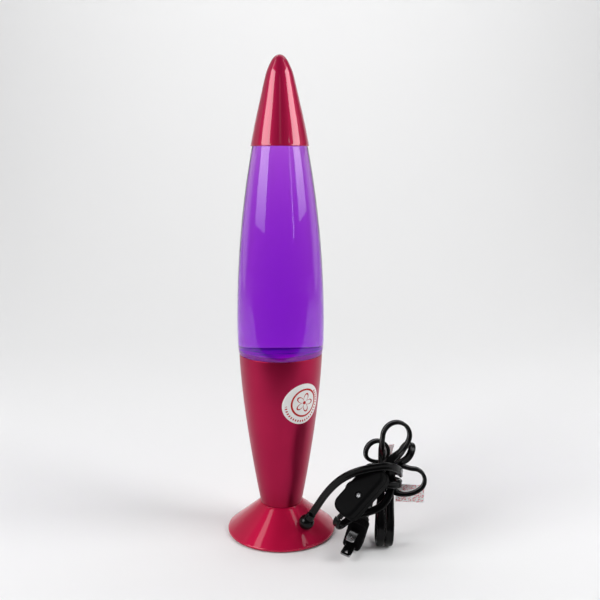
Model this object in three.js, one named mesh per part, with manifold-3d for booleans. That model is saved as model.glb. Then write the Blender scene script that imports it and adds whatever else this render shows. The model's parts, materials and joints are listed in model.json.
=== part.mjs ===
import * as THREE from 'three';
import { mergeVertices } from 'three/addons/utils/BufferGeometryUtils.js';
import Module from 'manifold-3d';

// Liquid motion lamp with a table cord, in millimetres, +Z up.
// The origin is on the table, under the axis of the lamp.

// Counts of flat facets
const ROUND_SIDES = 32;
const SMALL_SIDES = 20;
const FINE_SIDES = 12;
const ARC_STEPS = 4;
const GLOBE_STATIONS = 7;
const HANK_STEPS = 24;

// General clearances and gauges
const GAP = 0.3;
const OVERRUN = 6;
const SHEET = 1;

// Felt pad and bottom plate
const PAD_INSET = 2.4;
const PAD_THICK = 1;
const PLATE_THICK = 0.6;
const PLATE_EDGE_GAP = 0.35;

// Foot: a straight cone with a small upright lip
const FOOT_RADIUS = 42.8;
const FOOT_RISE = 0.8;
const FOOT_LIP = 1.6;
const FOOT_TOP_Z = 24.2;
const NECK_RADIUS = 16.5;

// Base cup: flares up from the neck in a curve
const CUP_HEIGHT = 121.3;
const CUP_RIM_RADIUS = 32;
const CUP_CURVE = 1.45;
const CUP_STATIONS = 9;

// Nipple, nuts and washer that clamp foot, cup and socket together
const NIPPLE_RADIUS = 4.85;
const NIPPLE_BORE = 3.3;
const NIPPLE_BELOW = 11.5;
const NUT_ACROSS = 15;
const NUT_HEIGHT = 4.6;
const WASHER_RADIUS = 8.6;
const WASHER_THICK = 1.2;

// Lamp socket
const SOCKET_RADIUS = 12.5;
const SOCKET_CAP_HEIGHT = 3;
const SOCKET_HEIGHT = 24;
const SOCKET_FLOOR = 2.6;
const THREAD_GAP = 0.45;
const SLEEVE_WALL = 0.5;
const CONTACT_RADIUS = 3;
const CONTACT_THICK = 0.8;

// Reflector bulb
const BULB_RADIUS = 19.5;
const BULB_GLASS_HEIGHT = 38.3;
const BULB_SHELL_RADIUS = 8.3;
const BULB_SHELL_HEIGHT = 15;
const BULB_NECK_RADIUS = 8.4;
const BULB_TIP_RADIUS = 2.6;
const BULB_TIP_HEIGHT = 1.2;
const BULB_CONE_HEIGHT = 2.6;
const BULB_CONE_TIP = 4;

// Glass bottle
const GLASS = 2.5;
const GLOBE_ABOVE_BULB = 8;
const GLOBE_FLOOR = 3.5;
const GLOBE_CORNER = 4;
const GLOBE_SIDE_GAP = 1.2;
const GLOBE_MAX_RADIUS = 33.3;
const GLOBE_MAX_RISE = 20.7;
const GLOBE_SHOULDER_DROP = 0.95;
const GLOBE_SHOULDER_BLEND = 9;
const GLOBE_TAPER_HEIGHT = 135.7;
const GLOBE_CURVE = 2.05;
const GLOBE_NECK_RADIUS = 11.5;
const GLOBE_NECK_FALL = 10;
const GLOBE_NECK_LENGTH = 4;
const GLOBE_BEAD = 1.5;
const GLOBE_BEAD_HEIGHT = 4;

// Contents
const WAX_ABOVE_SHOULDER = 3.5;
const LIQUID_TOP_BELOW_MOUTH = 9;
const COIL_RADIUS = 19;
const COIL_THICK = 1.1;

// Crown cap and pointed cover
const CROWN_SHEET = 0.5;
const CROWN_SKIRT = 5;
const CROWN_FLARE = 0.9;
const COVER_EDGE_RADIUS = 21.84;
const COVER_HEIGHT = 65.5;
const COVER_NARROWING = 0.2356;
const COVER_WALL = 0.8;

// Round label on the cup
const LABEL_RADIUS = 16;
const LABEL_THICK = 0.3;
const LABEL_BELOW_RIM = 34.1;
const LABEL_AZIMUTH = -54.5;

// Ball grommet where the cord leaves the foot, and its sleeve
const BALL_RADIUS = 6;
const BALL_STANDOFF = 4.15;
const BALL_SEAT_INSET = 13.5;
const BALL_AZIMUTH = -51.4;
const SHANK_RADIUS = 4;
const SHANK_INSIDE = 4.2;
const SLEEVE_LENGTH = 2.7;
const SLEEVE_ROOT = 3.9;
const SLEEVE_TIP = 3.3;
const INNER_LEAD_RADIUS = 1.5;

// Flat twin cord and the hank that it is tied in
const CORD_WIDTH = 6;
const CORD_THICK = 2.9;
const CORD_FLANK_SHARE = 0.6;
const STRAIGHT = 6;
const SHORT_STRAIGHT = 3;
const WAIST = new THREE.Vector3(81, -22, 52);
const PASS_HALF = 7.5;
const PASS_PULL = 3;
const COLUMN = 3.9;
const ROW = 4.1;
const WRAP_RADIUS = 11.2;

// Rotary cord switch
const SWITCH_CENTRE = new THREE.Vector3(60.69, -47, 51.28);
const SWITCH_LENGTH = 44;
const SWITCH_WIDTH = 19;
const SWITCH_THICK = 15;
const SWITCH_CORNER = 6;
const SWITCH_EDGE = 1.6;
const SWITCH_ROLL = 28;
const CONTROL_STATION = -3;
const WHEEL_RADIUS = 6.2;
const WHEEL_THICK = 4;
const WHEEL_LATERAL = 7;
const WHEEL_RUNNING_GAP = 0.5;
const PIN_RADIUS = 1.2;
const PIN_LENGTH = 9;
const SCREW_LATERAL = -3.2;
const SCREW_HEAD_RADIUS = 2.1;
const SCREW_HEAD_HEIGHT = 1.2;
const SCREW_RADIUS = 1.1;
const SCREW_LENGTH = 11;
const SCREW_RECESS = 0.5;

// Polarised plug
const PLUG_FACE = new THREE.Vector3(55.43, -41.87, 12.88);
const PLUG_LENGTH = 26;
const PLUG_WIDTH = 22;
const PLUG_THICK = 14;
const PLUG_BACK_WIDTH = 10;
const PLUG_BACK_THICK = 8;
const PLUG_GRIP = 11;
const PLUG_EDGE = 1.4;
const BLADE_SPACING = 12.7;
const BLADE_LENGTH = 17;
const BLADE_SEAT = 5;
const BLADE_THICK = 1.5;
const BLADE_NARROW = 6.35;
const BLADE_WIDE = 7.9;
const BLADE_HOLE_RADIUS = 1.6;
const BLADE_HOLE_FROM_TIP = 4;
const BLADE_TIP_CORNER = 1.6;

// Blank tags on the cord
const TAG_THICK = 0.5;
const TAG_ONE = { top: new THREE.Vector3(85, -11.1, 74.6), length: 13, width: 8 };
const TAG_TWO = { corner: new THREE.Vector3(89.5, -15.6, 29.6), length: 22, width: 14 };

// Colours, roughness and metalness
const RED_METAL = { color: 0xb80f3a, roughness: 0.22, metalness: 0.85 };
const CUP_METAL = { color: 0x9c2048, roughness: 0.34, metalness: 0.8 };
const STEEL = { color: 0xb9bcc0, roughness: 0.35, metalness: 1 };
const BRASS = { color: 0xc9a24b, roughness: 0.3, metalness: 1 };
const BLACK_PLASTIC = { color: 0x121214, roughness: 0.42, metalness: 0 };
const BLACK_CORD = { color: 0x161618, roughness: 0.5, metalness: 0 };
const CLEAR_GLASS = { color: 0xe6e0f2, roughness: 0.05, metalness: 0, transparent: true, opacity: 0.35 };
const PURPLE_LIQUID = { color: 0x7d1ebe, roughness: 0.1, metalness: 0 };
const PURPLE_WAX = { color: 0x5a0a96, roughness: 0.4, metalness: 0 };
const FELT = { color: 0x1c1c1e, roughness: 0.95, metalness: 0 };
const PORCELAIN = { color: 0xe8e6e0, roughness: 0.3, metalness: 0 };
const FIBRE = { color: 0x3a2a22, roughness: 0.7, metalness: 0 };
const LABEL_WHITE = { color: 0xf4f2f2, roughness: 0.4, metalness: 0 };
const TAG_PAPER = { color: 0xf0dfe2, roughness: 0.6, metalness: 0 };
const COATED_BULB = { color: 0xe9e9ea, roughness: 0.2, metalness: 0 };

const UP = new THREE.Vector3(0, 0, 1);
const FULL_TURN = 360;
const RIGHT_ANGLE = 90;

const wasm = await Module();
wasm.setup();

const lamp = new THREE.Group();

// Vector and outline helpers

const radians = THREE.MathUtils.degToRad;
const direction = (x, y, z) => new THREE.Vector3(x, y, z).normalize();

function sum(...terms) {
  const total = new THREE.Vector3();
  for (const [vector, factor] of terms) total.addScaledVector(vector, factor);
  return total;
}

function arc(centreR, centreZ, radius, from, to, steps) {
  const points = [];
  for (let i = 0; i <= steps; i++) {
    const angle = radians(from + ((to - from) * i) / steps);
    points.push([centreR + radius * Math.cos(angle), centreZ + radius * Math.sin(angle)]);
  }
  return points;
}

function stations(low, high, count, width) {
  const points = [];
  for (let i = 0; i <= count; i++) {
    const z = low + ((high - low) * i) / count;
    points.push([width(z), z]);
  }
  return points;
}

// Solids

function turned(points, sides = ROUND_SIDES) {
  const outline = points.map(([r, z]) => new THREE.Vector2(r, z));
  return new THREE.LatheGeometry(outline, sides).rotateX(Math.PI / 2);
}

function turnedRing(points, sides = ROUND_SIDES) {
  return turned([...points, points[0]], sides);
}

function ring(inner, outer, low, high, sides = ROUND_SIDES) {
  return turnedRing([[inner, low], [outer, low], [outer, high], [inner, high]], sides);
}

function disc(radius, low, high, sides = ROUND_SIDES) {
  return turned([[0, low], [radius, low], [radius, high], [0, high]], sides);
}

function block(width, depth, height) {
  return new THREE.BoxGeometry(width, depth, height);
}

function extruded(shape, depth, edge, curveSegments = ARC_STEPS) {
  const options = { depth: depth - 2 * edge, bevelEnabled: edge > 0, curveSegments };
  if (edge > 0) Object.assign(options, { bevelThickness: edge, bevelSize: edge, bevelOffset: -edge, bevelSegments: 2 });
  return new THREE.ExtrudeGeometry(shape, options).translate(0, 0, edge - depth / 2);
}

function roundedRectangle(length, width, corner) {
  const x = length / 2;
  const y = width / 2;
  const shape = new THREE.Shape();
  shape.moveTo(corner - x, -y);
  shape.lineTo(x - corner, -y);
  shape.absarc(x - corner, corner - y, corner, -Math.PI / 2, 0, false);
  shape.lineTo(x, y - corner);
  shape.absarc(x - corner, y - corner, corner, 0, Math.PI / 2, false);
  shape.lineTo(corner - x, y);
  shape.absarc(corner - x, y - corner, corner, Math.PI / 2, Math.PI, false);
  shape.lineTo(-x, corner - y);
  shape.absarc(corner - x, corner - y, corner, Math.PI, 1.5 * Math.PI, false);
  return shape;
}

function toSolid(geometry) {
  const bare = geometry.clone();
  bare.deleteAttribute('normal');
  bare.deleteAttribute('uv');
  const merged = mergeVertices(bare);
  const vertProperties = new Float32Array(merged.attributes.position.array);
  const triVerts = new Uint32Array(merged.index.array);
  return new wasm.Manifold(new wasm.Mesh({ numProp: 3, vertProperties, triVerts }));
}

function toGeometry(solid) {
  const mesh = solid.getMesh();
  const geometry = new THREE.BufferGeometry();
  geometry.setAttribute('position', new THREE.BufferAttribute(new Float32Array(mesh.vertProperties), 3));
  geometry.setIndex(new THREE.BufferAttribute(new Uint32Array(mesh.triVerts), 1));
  return geometry;
}

function cut(geometry, ...tools) {
  let solid = toSolid(geometry);
  for (const tool of tools) solid = solid.subtract(toSolid(tool));
  return toGeometry(solid);
}

function common(first, second) {
  return toGeometry(toSolid(first).intersect(toSolid(second)));
}

// Places a shape made along x, y and z in a frame given by its axes and origin
function placed(geometry, origin, xAxis, yAxis, zAxis) {
  const matrix = new THREE.Matrix4().makeBasis(xAxis, yAxis, zAxis).setPosition(origin);
  return geometry.applyMatrix4(matrix);
}

function alongAxis(geometry, origin, axis) {
  const turn = new THREE.Quaternion().setFromUnitVectors(UP, axis);
  return geometry.applyQuaternion(turn).translate(origin.x, origin.y, origin.z);
}

function add(name, geometry, look) {
  const mesh = new THREE.Mesh(geometry, new THREE.MeshStandardMaterial(look));
  mesh.name = name;
  lamp.add(mesh);
}

// Foot, cup and what clamps them

const plateLow = PAD_THICK + GAP;
const plateTop = plateLow + PLATE_THICK;
const cupFloor = FOOT_TOP_Z + GAP;
const cupRimZ = cupFloor + CUP_HEIGHT;
const clampHole = NIPPLE_RADIUS + GAP;
const lowerWasherTop = FOOT_TOP_Z - SHEET - GAP;
const lowerNutTop = lowerWasherTop - WASHER_THICK - GAP;
const upperNutLow = cupFloor + SHEET + GAP;
const socketCapLow = upperNutLow + NUT_HEIGHT + GAP;
const nippleLow = FOOT_TOP_Z - NIPPLE_BELOW;
const nippleTop = socketCapLow + SOCKET_CAP_HEIGHT - GAP;

function cupRadius(z) {
  const left = Math.max(1 - (z - cupFloor) / CUP_HEIGHT, 0);
  return NECK_RADIUS + (CUP_RIM_RADIUS - NECK_RADIUS) * (1 - left ** CUP_CURVE);
}

const footLipTop = FOOT_RISE + FOOT_LIP;
const footSlope = Math.atan2(FOOT_TOP_Z - footLipTop, FOOT_RADIUS - NECK_RADIUS);
const ballSeatRadius = FOOT_RADIUS - BALL_SEAT_INSET;
const ballOutward = direction(Math.cos(radians(BALL_AZIMUTH)), Math.sin(radians(BALL_AZIMUTH)), 0);
const ballNormal = sum([ballOutward, Math.sin(footSlope)], [UP, Math.cos(footSlope)]);
const ballSeatZ = FOOT_TOP_Z - (ballSeatRadius - NECK_RADIUS) * Math.tan(footSlope);
const ballSeat = sum([ballOutward, ballSeatRadius], [UP, ballSeatZ]);
const ballCentre = sum([ballSeat, 1], [ballNormal, BALL_STANDOFF]);

function makeFoot() {
  const inside = SHEET / Math.cos(footSlope);
  const shell = turnedRing([
    [clampHole, FOOT_TOP_Z - SHEET],
    [NECK_RADIUS - SHEET, FOOT_TOP_Z - SHEET],
    [FOOT_RADIUS - SHEET, footLipTop - inside + SHEET * Math.tan(footSlope)],
    [FOOT_RADIUS - SHEET, FOOT_RISE],
    [FOOT_RADIUS, FOOT_RISE],
    [FOOT_RADIUS, footLipTop],
    [NECK_RADIUS, FOOT_TOP_Z],
    [clampHole, FOOT_TOP_Z],
  ]);
  const hole = disc(SHANK_RADIUS + GAP, -OVERRUN, OVERRUN, SMALL_SIDES);
  add('foot', cut(shell, alongAxis(hole, ballSeat, ballNormal)), RED_METAL);
}

function makeBottom() {
  add('felt_pad', disc(FOOT_RADIUS - PAD_INSET, 0, PAD_THICK), FELT);
  add('bottom_plate', disc(FOOT_RADIUS - SHEET - PLATE_EDGE_GAP, plateLow, plateTop), STEEL);
}

function makeCup() {
  const outer = stations(cupFloor, cupRimZ, CUP_STATIONS, cupRadius);
  const inner = stations(cupFloor + SHEET, cupRimZ, CUP_STATIONS, (z) => cupRadius(z) - SHEET).reverse();
  add('base_cup', turnedRing([[clampHole, cupFloor], ...outer, ...inner, [clampHole, cupFloor + SHEET]]), CUP_METAL);
}

function makeNut(name, low) {
  const outer = NUT_ACROSS / Math.sqrt(3);
  const corners = [];
  for (let i = 0; i < 6; i++) {
    const angle = radians((FULL_TURN * i) / 6);
    corners.push(new THREE.Vector2(outer * Math.cos(angle), outer * Math.sin(angle)));
  }
  const hexagon = new THREE.Shape(corners);
  const hole = new THREE.Path().absarc(0, 0, clampHole, 0, 2 * Math.PI, true);
  hexagon.holes.push(hole);
  const nut = new THREE.ExtrudeGeometry(hexagon, { depth: NUT_HEIGHT, bevelEnabled: false, curveSegments: FINE_SIDES });
  add(name, nut.translate(0, 0, low), STEEL);
}

function makeClamp() {
  add('threaded_nipple', ring(NIPPLE_BORE, NIPPLE_RADIUS, nippleLow, nippleTop, SMALL_SIDES), STEEL);
  add('lock_washer', ring(clampHole, WASHER_RADIUS, lowerWasherTop - WASHER_THICK, lowerWasherTop, SMALL_SIDES), STEEL);
  makeNut('lower_nut', lowerNutTop - NUT_HEIGHT);
  makeNut('upper_nut', upperNutLow);
}

// Socket and bulb

const socketLow = socketCapLow + SOCKET_CAP_HEIGHT + GAP;
const socketTop = socketLow + SOCKET_HEIGHT;
const socketFloorTop = socketLow + SOCKET_FLOOR;
const contactLow = socketFloorTop + GAP;
const tipLow = contactLow + CONTACT_THICK + GAP;
const coneLow = tipLow + BULB_TIP_HEIGHT + GAP;
const bulbShellLow = coneLow + BULB_CONE_HEIGHT + GAP;
const bulbShellTop = bulbShellLow + BULB_SHELL_HEIGHT;
const bulbGlassLow = bulbShellTop + GAP;
const bulbTop = bulbGlassLow + BULB_GLASS_HEIGHT;
const sleeveBore = BULB_SHELL_RADIUS + THREAD_GAP;

function makeSocket() {
  const bore = sleeveBore + SLEEVE_WALL + GAP;
  add('socket_cap', ring(clampHole, SOCKET_RADIUS, socketCapLow, socketCapLow + SOCKET_CAP_HEIGHT, SMALL_SIDES), STEEL);
  add('lamp_socket', turned([
    [0, socketLow],
    [SOCKET_RADIUS, socketLow],
    [SOCKET_RADIUS, socketTop],
    [bore, socketTop],
    [bore, socketFloorTop],
    [0, socketFloorTop],
  ], SMALL_SIDES), PORCELAIN);
  add('socket_sleeve', ring(sleeveBore, sleeveBore + SLEEVE_WALL, contactLow, socketTop, SMALL_SIDES), BRASS);
  add('socket_contact', disc(CONTACT_RADIUS, contactLow, contactLow + CONTACT_THICK, FINE_SIDES), BRASS);
}

function makeBulb() {
  const swell = BULB_RADIUS - BULB_NECK_RADIUS;
  const flareShares = [[0, 0], [0.04, 0.16], [0.22, 0.3], [0.6, 0.44], [0.9, 0.54], [1, 0.64]];
  const flare = flareShares.map(([r, z]) => [BULB_NECK_RADIUS + swell * r, bulbGlassLow + BULB_GLASS_HEIGHT * z]);
  const domeShares = [[0.97, 0.74], [0.86, 0.85], [0.62, 0.94], [0.32, 0.99], [0, 1]];
  const dome = domeShares.map(([r, z]) => [BULB_RADIUS * r, bulbGlassLow + BULB_GLASS_HEIGHT * z]);
  add('bulb_glass', turned([[0, bulbGlassLow], ...flare, ...dome], SMALL_SIDES), COATED_BULB);
  add('bulb_shell', disc(BULB_SHELL_RADIUS, bulbShellLow, bulbShellTop, SMALL_SIDES), BRASS);
  add('bulb_insulator', turned([
    [0, coneLow],
    [BULB_CONE_TIP, coneLow],
    [BULB_SHELL_RADIUS, coneLow + BULB_CONE_HEIGHT],
    [0, coneLow + BULB_CONE_HEIGHT],
  ], SMALL_SIDES), FIBRE);
  add('bulb_contact', disc(BULB_TIP_RADIUS, tipLow, tipLow + BULB_TIP_HEIGHT, FINE_SIDES), STEEL);
}

// Glass bottle, contents and covers

const shoulderZ = cupRimZ + GAP;
const globeMaxZ = shoulderZ + GLOBE_MAX_RISE;
const coverEdgeZ = globeMaxZ + GLOBE_TAPER_HEIGHT;
const coverTopZ = coverEdgeZ + COVER_HEIGHT;
const coverInner = COVER_WALL * Math.hypot(1, COVER_NARROWING);
const globeEdgeRadius = COVER_EDGE_RADIUS - coverInner - GAP;
const neckLow = coverEdgeZ + GLOBE_NECK_FALL;
const beadLow = neckLow + GLOBE_NECK_LENGTH;
const mouthZ = beadLow + GLOBE_BEAD_HEIGHT;
const liquidTop = mouthZ - LIQUID_TOP_BELOW_MOUTH;
const waxTop = shoulderZ + WAX_ABOVE_SHOULDER;
const globeBottom = bulbTop + GLOBE_ABOVE_BULB;

const belowRim = (z) => cupRadius(z) - SHEET - GLOBE_SIDE_GAP;

function aboveRim(z) {
  if (z < globeMaxZ) return GLOBE_MAX_RADIUS - GLOBE_SHOULDER_DROP * ((globeMaxZ - z) / GLOBE_MAX_RISE) ** 3;
  const share = (z - globeMaxZ) / GLOBE_TAPER_HEIGHT;
  return GLOBE_MAX_RADIUS - (GLOBE_MAX_RADIUS - globeEdgeRadius) * share ** GLOBE_CURVE;
}

// The shoulder under the pointed cover falls in to the neck in a half wave
function underCover(z) {
  const share = Math.min((z - coverEdgeZ) / GLOBE_NECK_FALL, 1);
  const fall = (1 - Math.cos(Math.PI * share)) / 2;
  const slope = (globeEdgeRadius - GLOBE_NECK_RADIUS) * fall;
  return globeEdgeRadius - slope;
}

function innerRadius(z) {
  const blendTop = shoulderZ + GLOBE_SHOULDER_BLEND;
  if (z > coverEdgeZ) return underCover(z) - GLASS;
  if (z >= blendTop) return aboveRim(z) - GLASS;
  if (z <= shoulderZ) return belowRim(z) - GLASS;
  const share = (z - shoulderZ) / GLOBE_SHOULDER_BLEND;
  return (belowRim(shoulderZ - GAP) + (aboveRim(blendTop) - belowRim(shoulderZ - GAP)) * share) - GLASS;
}

const floorZ = globeBottom + GLOBE_FLOOR;
const cornerZ = globeBottom + GLOBE_CORNER;

function makeGlobe() {
  const cornerRadius = belowRim(cornerZ);
  const outer = [
    [0, globeBottom],
    ...arc(cornerRadius - GLOBE_CORNER, cornerZ, GLOBE_CORNER, -RIGHT_ANGLE, 0, ARC_STEPS),
    ...stations(cornerZ, shoulderZ - GAP, 3, belowRim).slice(1),
    [belowRim(shoulderZ - GAP), shoulderZ],
    ...stations(shoulderZ, globeMaxZ, 3, aboveRim),
    ...stations(globeMaxZ, coverEdgeZ, GLOBE_STATIONS, aboveRim).slice(1),
    ...stations(coverEdgeZ, neckLow, 4, underCover).slice(1),
    [GLOBE_NECK_RADIUS, beadLow],
    [GLOBE_NECK_RADIUS + GLOBE_BEAD, beadLow + GLOBE_BEAD / 2],
    [GLOBE_NECK_RADIUS + GLOBE_BEAD, mouthZ],
  ];
  const inner = [
    [GLOBE_NECK_RADIUS - GLASS, mouthZ],
    ...stations(coverEdgeZ, neckLow, 4, innerRadius).reverse(),
    ...stations(shoulderZ + GLOBE_SHOULDER_BLEND, coverEdgeZ, GLOBE_STATIONS, innerRadius).reverse().slice(1),
    ...stations(floorZ + GLASS, shoulderZ, 3, innerRadius).reverse(),
    [innerRadius(floorZ + GLASS) - GLASS, floorZ],
    [0, floorZ],
  ];
  add('globe', turned([...outer, ...inner]), CLEAR_GLASS);
}

const contentsRadius = (z) => innerRadius(z) - GAP;

function makeContents() {
  const waxLow = floorZ + GAP;
  const coilZ = waxLow + COIL_THICK;
  const groove = COIL_THICK + GAP;
  add('wax', turned([
    [0, waxLow],
    [COIL_RADIUS - groove, waxLow],
    [COIL_RADIUS - groove, coilZ + groove],
    [COIL_RADIUS + groove, coilZ + groove],
    [COIL_RADIUS + groove, waxLow],
    [contentsRadius(floorZ + GLASS) - GLASS, waxLow],
    ...stations(floorZ + GLASS + GAP, shoulderZ, 3, contentsRadius),
    [contentsRadius(waxTop), waxTop],
    [0, waxTop],
  ]), PURPLE_WAX);
  add('liquid', turned([
    [0, waxTop + GAP],
    [contentsRadius(waxTop + GAP), waxTop + GAP],
    ...stations(shoulderZ + GLOBE_SHOULDER_BLEND, coverEdgeZ, GLOBE_STATIONS, contentsRadius),
    ...stations(coverEdgeZ, neckLow, 4, contentsRadius).slice(1, -1),
    [GLOBE_NECK_RADIUS - GLASS - GAP, liquidTop],
    [0, liquidTop],
  ]), PURPLE_LIQUID);
  const coil = new THREE.TorusGeometry(COIL_RADIUS, COIL_THICK, 6, ROUND_SIDES);
  add('wax_coil', coil.translate(0, 0, coilZ), STEEL);
}

function makeCrown() {
  const lip = GLOBE_NECK_RADIUS + GLOBE_BEAD + GAP;
  const low = mouthZ - CROWN_SKIRT + GLOBE_BEAD;
  const under = mouthZ + GAP;
  const top = under + CROWN_SHEET;
  add('crown_cap', turned([
    [0, under],
    [lip, under],
    [lip + CROWN_FLARE, low],
    [lip + CROWN_FLARE + CROWN_SHEET, low],
    [lip + CROWN_SHEET, top - CROWN_SHEET],
    [lip, top],
    [0, top],
  ]), STEEL);
}

function makeCover() {
  const lean = Math.atan(COVER_NARROWING);
  const leanDegrees = THREE.MathUtils.radToDeg(lean);
  const straightAtTop = COVER_EDGE_RADIUS - COVER_NARROWING * COVER_HEIGHT;
  const tip = straightAtTop / (Math.cos(lean) - COVER_NARROWING * (1 - Math.sin(lean)));
  const centreZ = coverTopZ - tip;
  const outer = arc(0, centreZ, tip, leanDegrees, RIGHT_ANGLE, ARC_STEPS);
  const inner = arc(0, centreZ, tip - COVER_WALL, leanDegrees, RIGHT_ANGLE, ARC_STEPS).reverse();
  outer[ARC_STEPS][0] = 0;
  inner[0][0] = 0;
  const edge = [[COVER_EDGE_RADIUS - coverInner, coverEdgeZ], [COVER_EDGE_RADIUS, coverEdgeZ]];
  add('pointed_cover', turned([...inner, ...edge, ...outer]), RED_METAL);
}

// Round label, wrapped on the cup

function makeLabel() {
  const middle = cupRimZ - LABEL_BELOW_RIM;
  const low = middle - LABEL_RADIUS - OVERRUN;
  const high = middle + LABEL_RADIUS + OVERRUN;
  const outer = stations(low, high, CUP_STATIONS, (z) => cupRadius(z) + GAP + LABEL_THICK);
  const inner = stations(low, high, CUP_STATIONS, (z) => cupRadius(z) + GAP).reverse();
  const azimuth = radians(LABEL_AZIMUTH);
  const outward = direction(Math.cos(azimuth), Math.sin(azimuth), 0);
  const punch = disc(LABEL_RADIUS, 0, cupRadius(middle) + OVERRUN);
  alongAxis(punch, sum([UP, middle]), outward);
  add('round_label', common(turnedRing([...outer, ...inner]), punch), LABEL_WHITE);
}

// Grommet, sleeve and the lead inside the foot

const leadStartDirection = direction(0.45, -0.25, 0.85);

function makeGrommet() {
  const flatRadius = Math.sqrt(BALL_RADIUS ** 2 - (BALL_STANDOFF - GAP) ** 2);
  const flatAngle = THREE.MathUtils.radToDeg(Math.asin((BALL_STANDOFF - GAP) / BALL_RADIUS));
  const sphere = arc(0, BALL_STANDOFF, BALL_RADIUS, -flatAngle, RIGHT_ANGLE, 2 * ARC_STEPS);
  sphere[2 * ARC_STEPS][0] = 0;
  sphere[0][0] = flatRadius;
  const outline = [[0, -SHANK_INSIDE], [SHANK_RADIUS, -SHANK_INSIDE], [SHANK_RADIUS, GAP], ...sphere];
  add('cord_grommet', alongAxis(turned(outline, SMALL_SIDES), ballSeat, ballNormal), BLACK_PLASTIC);

  const seat = BALL_RADIUS + GAP;
  const rootAngle = THREE.MathUtils.radToDeg(Math.asin(SLEEVE_ROOT / seat));
  const bowl = arc(0, 0, seat, RIGHT_ANGLE, RIGHT_ANGLE - rootAngle, ARC_STEPS);
  bowl[0][0] = 0;
  const tipZ = BALL_RADIUS + SLEEVE_LENGTH + GAP;
  const sleeve = turned([...bowl, [SLEEVE_TIP, tipZ], [0, tipZ]], SMALL_SIDES);
  add('cord_sleeve', alongAxis(sleeve, ballCentre, leadStartDirection), BLACK_PLASTIC);
}

function makeInnerLead() {
  const middle = (nippleLow + plateTop) / 2;
  const behindSeat = (depth) => sum([ballSeat, 1], [ballNormal, -depth]);
  const points = [
    behindSeat(SHANK_INSIDE + GAP),
    behindSeat(SHANK_INSIDE + GAP + INNER_LEAD_RADIUS),
    sum([ballOutward, ballSeatRadius / 2], [UP, middle]),
    sum([UP, middle - INNER_LEAD_RADIUS], [ballOutward, INNER_LEAD_RADIUS]),
    sum([UP, nippleLow]),
    sum([UP, nippleTop]),
  ];
  const route = new THREE.CatmullRomCurve3(points, false, 'centripetal');
  const section = new THREE.Shape().absarc(0, 0, INNER_LEAD_RADIUS, 0, 2 * Math.PI, false);
  const tube = { steps: 2 * FINE_SIDES, curveSegments: FINE_SIDES / 3, extrudePath: route, bevelEnabled: false };
  add('inner_lead', new THREE.ExtrudeGeometry(section, tube), BLACK_CORD);
}

// Cord switch, whose face leans toward the viewer and is rolled to one side

const switchLong = direction(0.67, 0.2, 0.71);
const switchTowardViewer = direction(-0.0759, -0.9107, 0.406);
const switchFacing = switchTowardViewer.addScaledVector(switchLong, -switchTowardViewer.dot(switchLong)).normalize();
const switchAside = facingAside();
const switchNormal = sum([switchFacing, Math.cos(radians(SWITCH_ROLL))], [switchAside, Math.sin(radians(SWITCH_ROLL))]);
const switchLateral = new THREE.Vector3().crossVectors(switchNormal, switchLong);
const switchTop = sum([SWITCH_CENTRE, 1], [switchLong, SWITCH_LENGTH / 2]);
const switchLow = sum([SWITCH_CENTRE, 1], [switchLong, -SWITCH_LENGTH / 2]);

function facingAside() {
  return new THREE.Vector3().crossVectors(switchFacing, switchLong);
}

const onSwitch = (geometry) => placed(geometry, SWITCH_CENTRE, switchLong, switchLateral, switchNormal);

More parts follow.
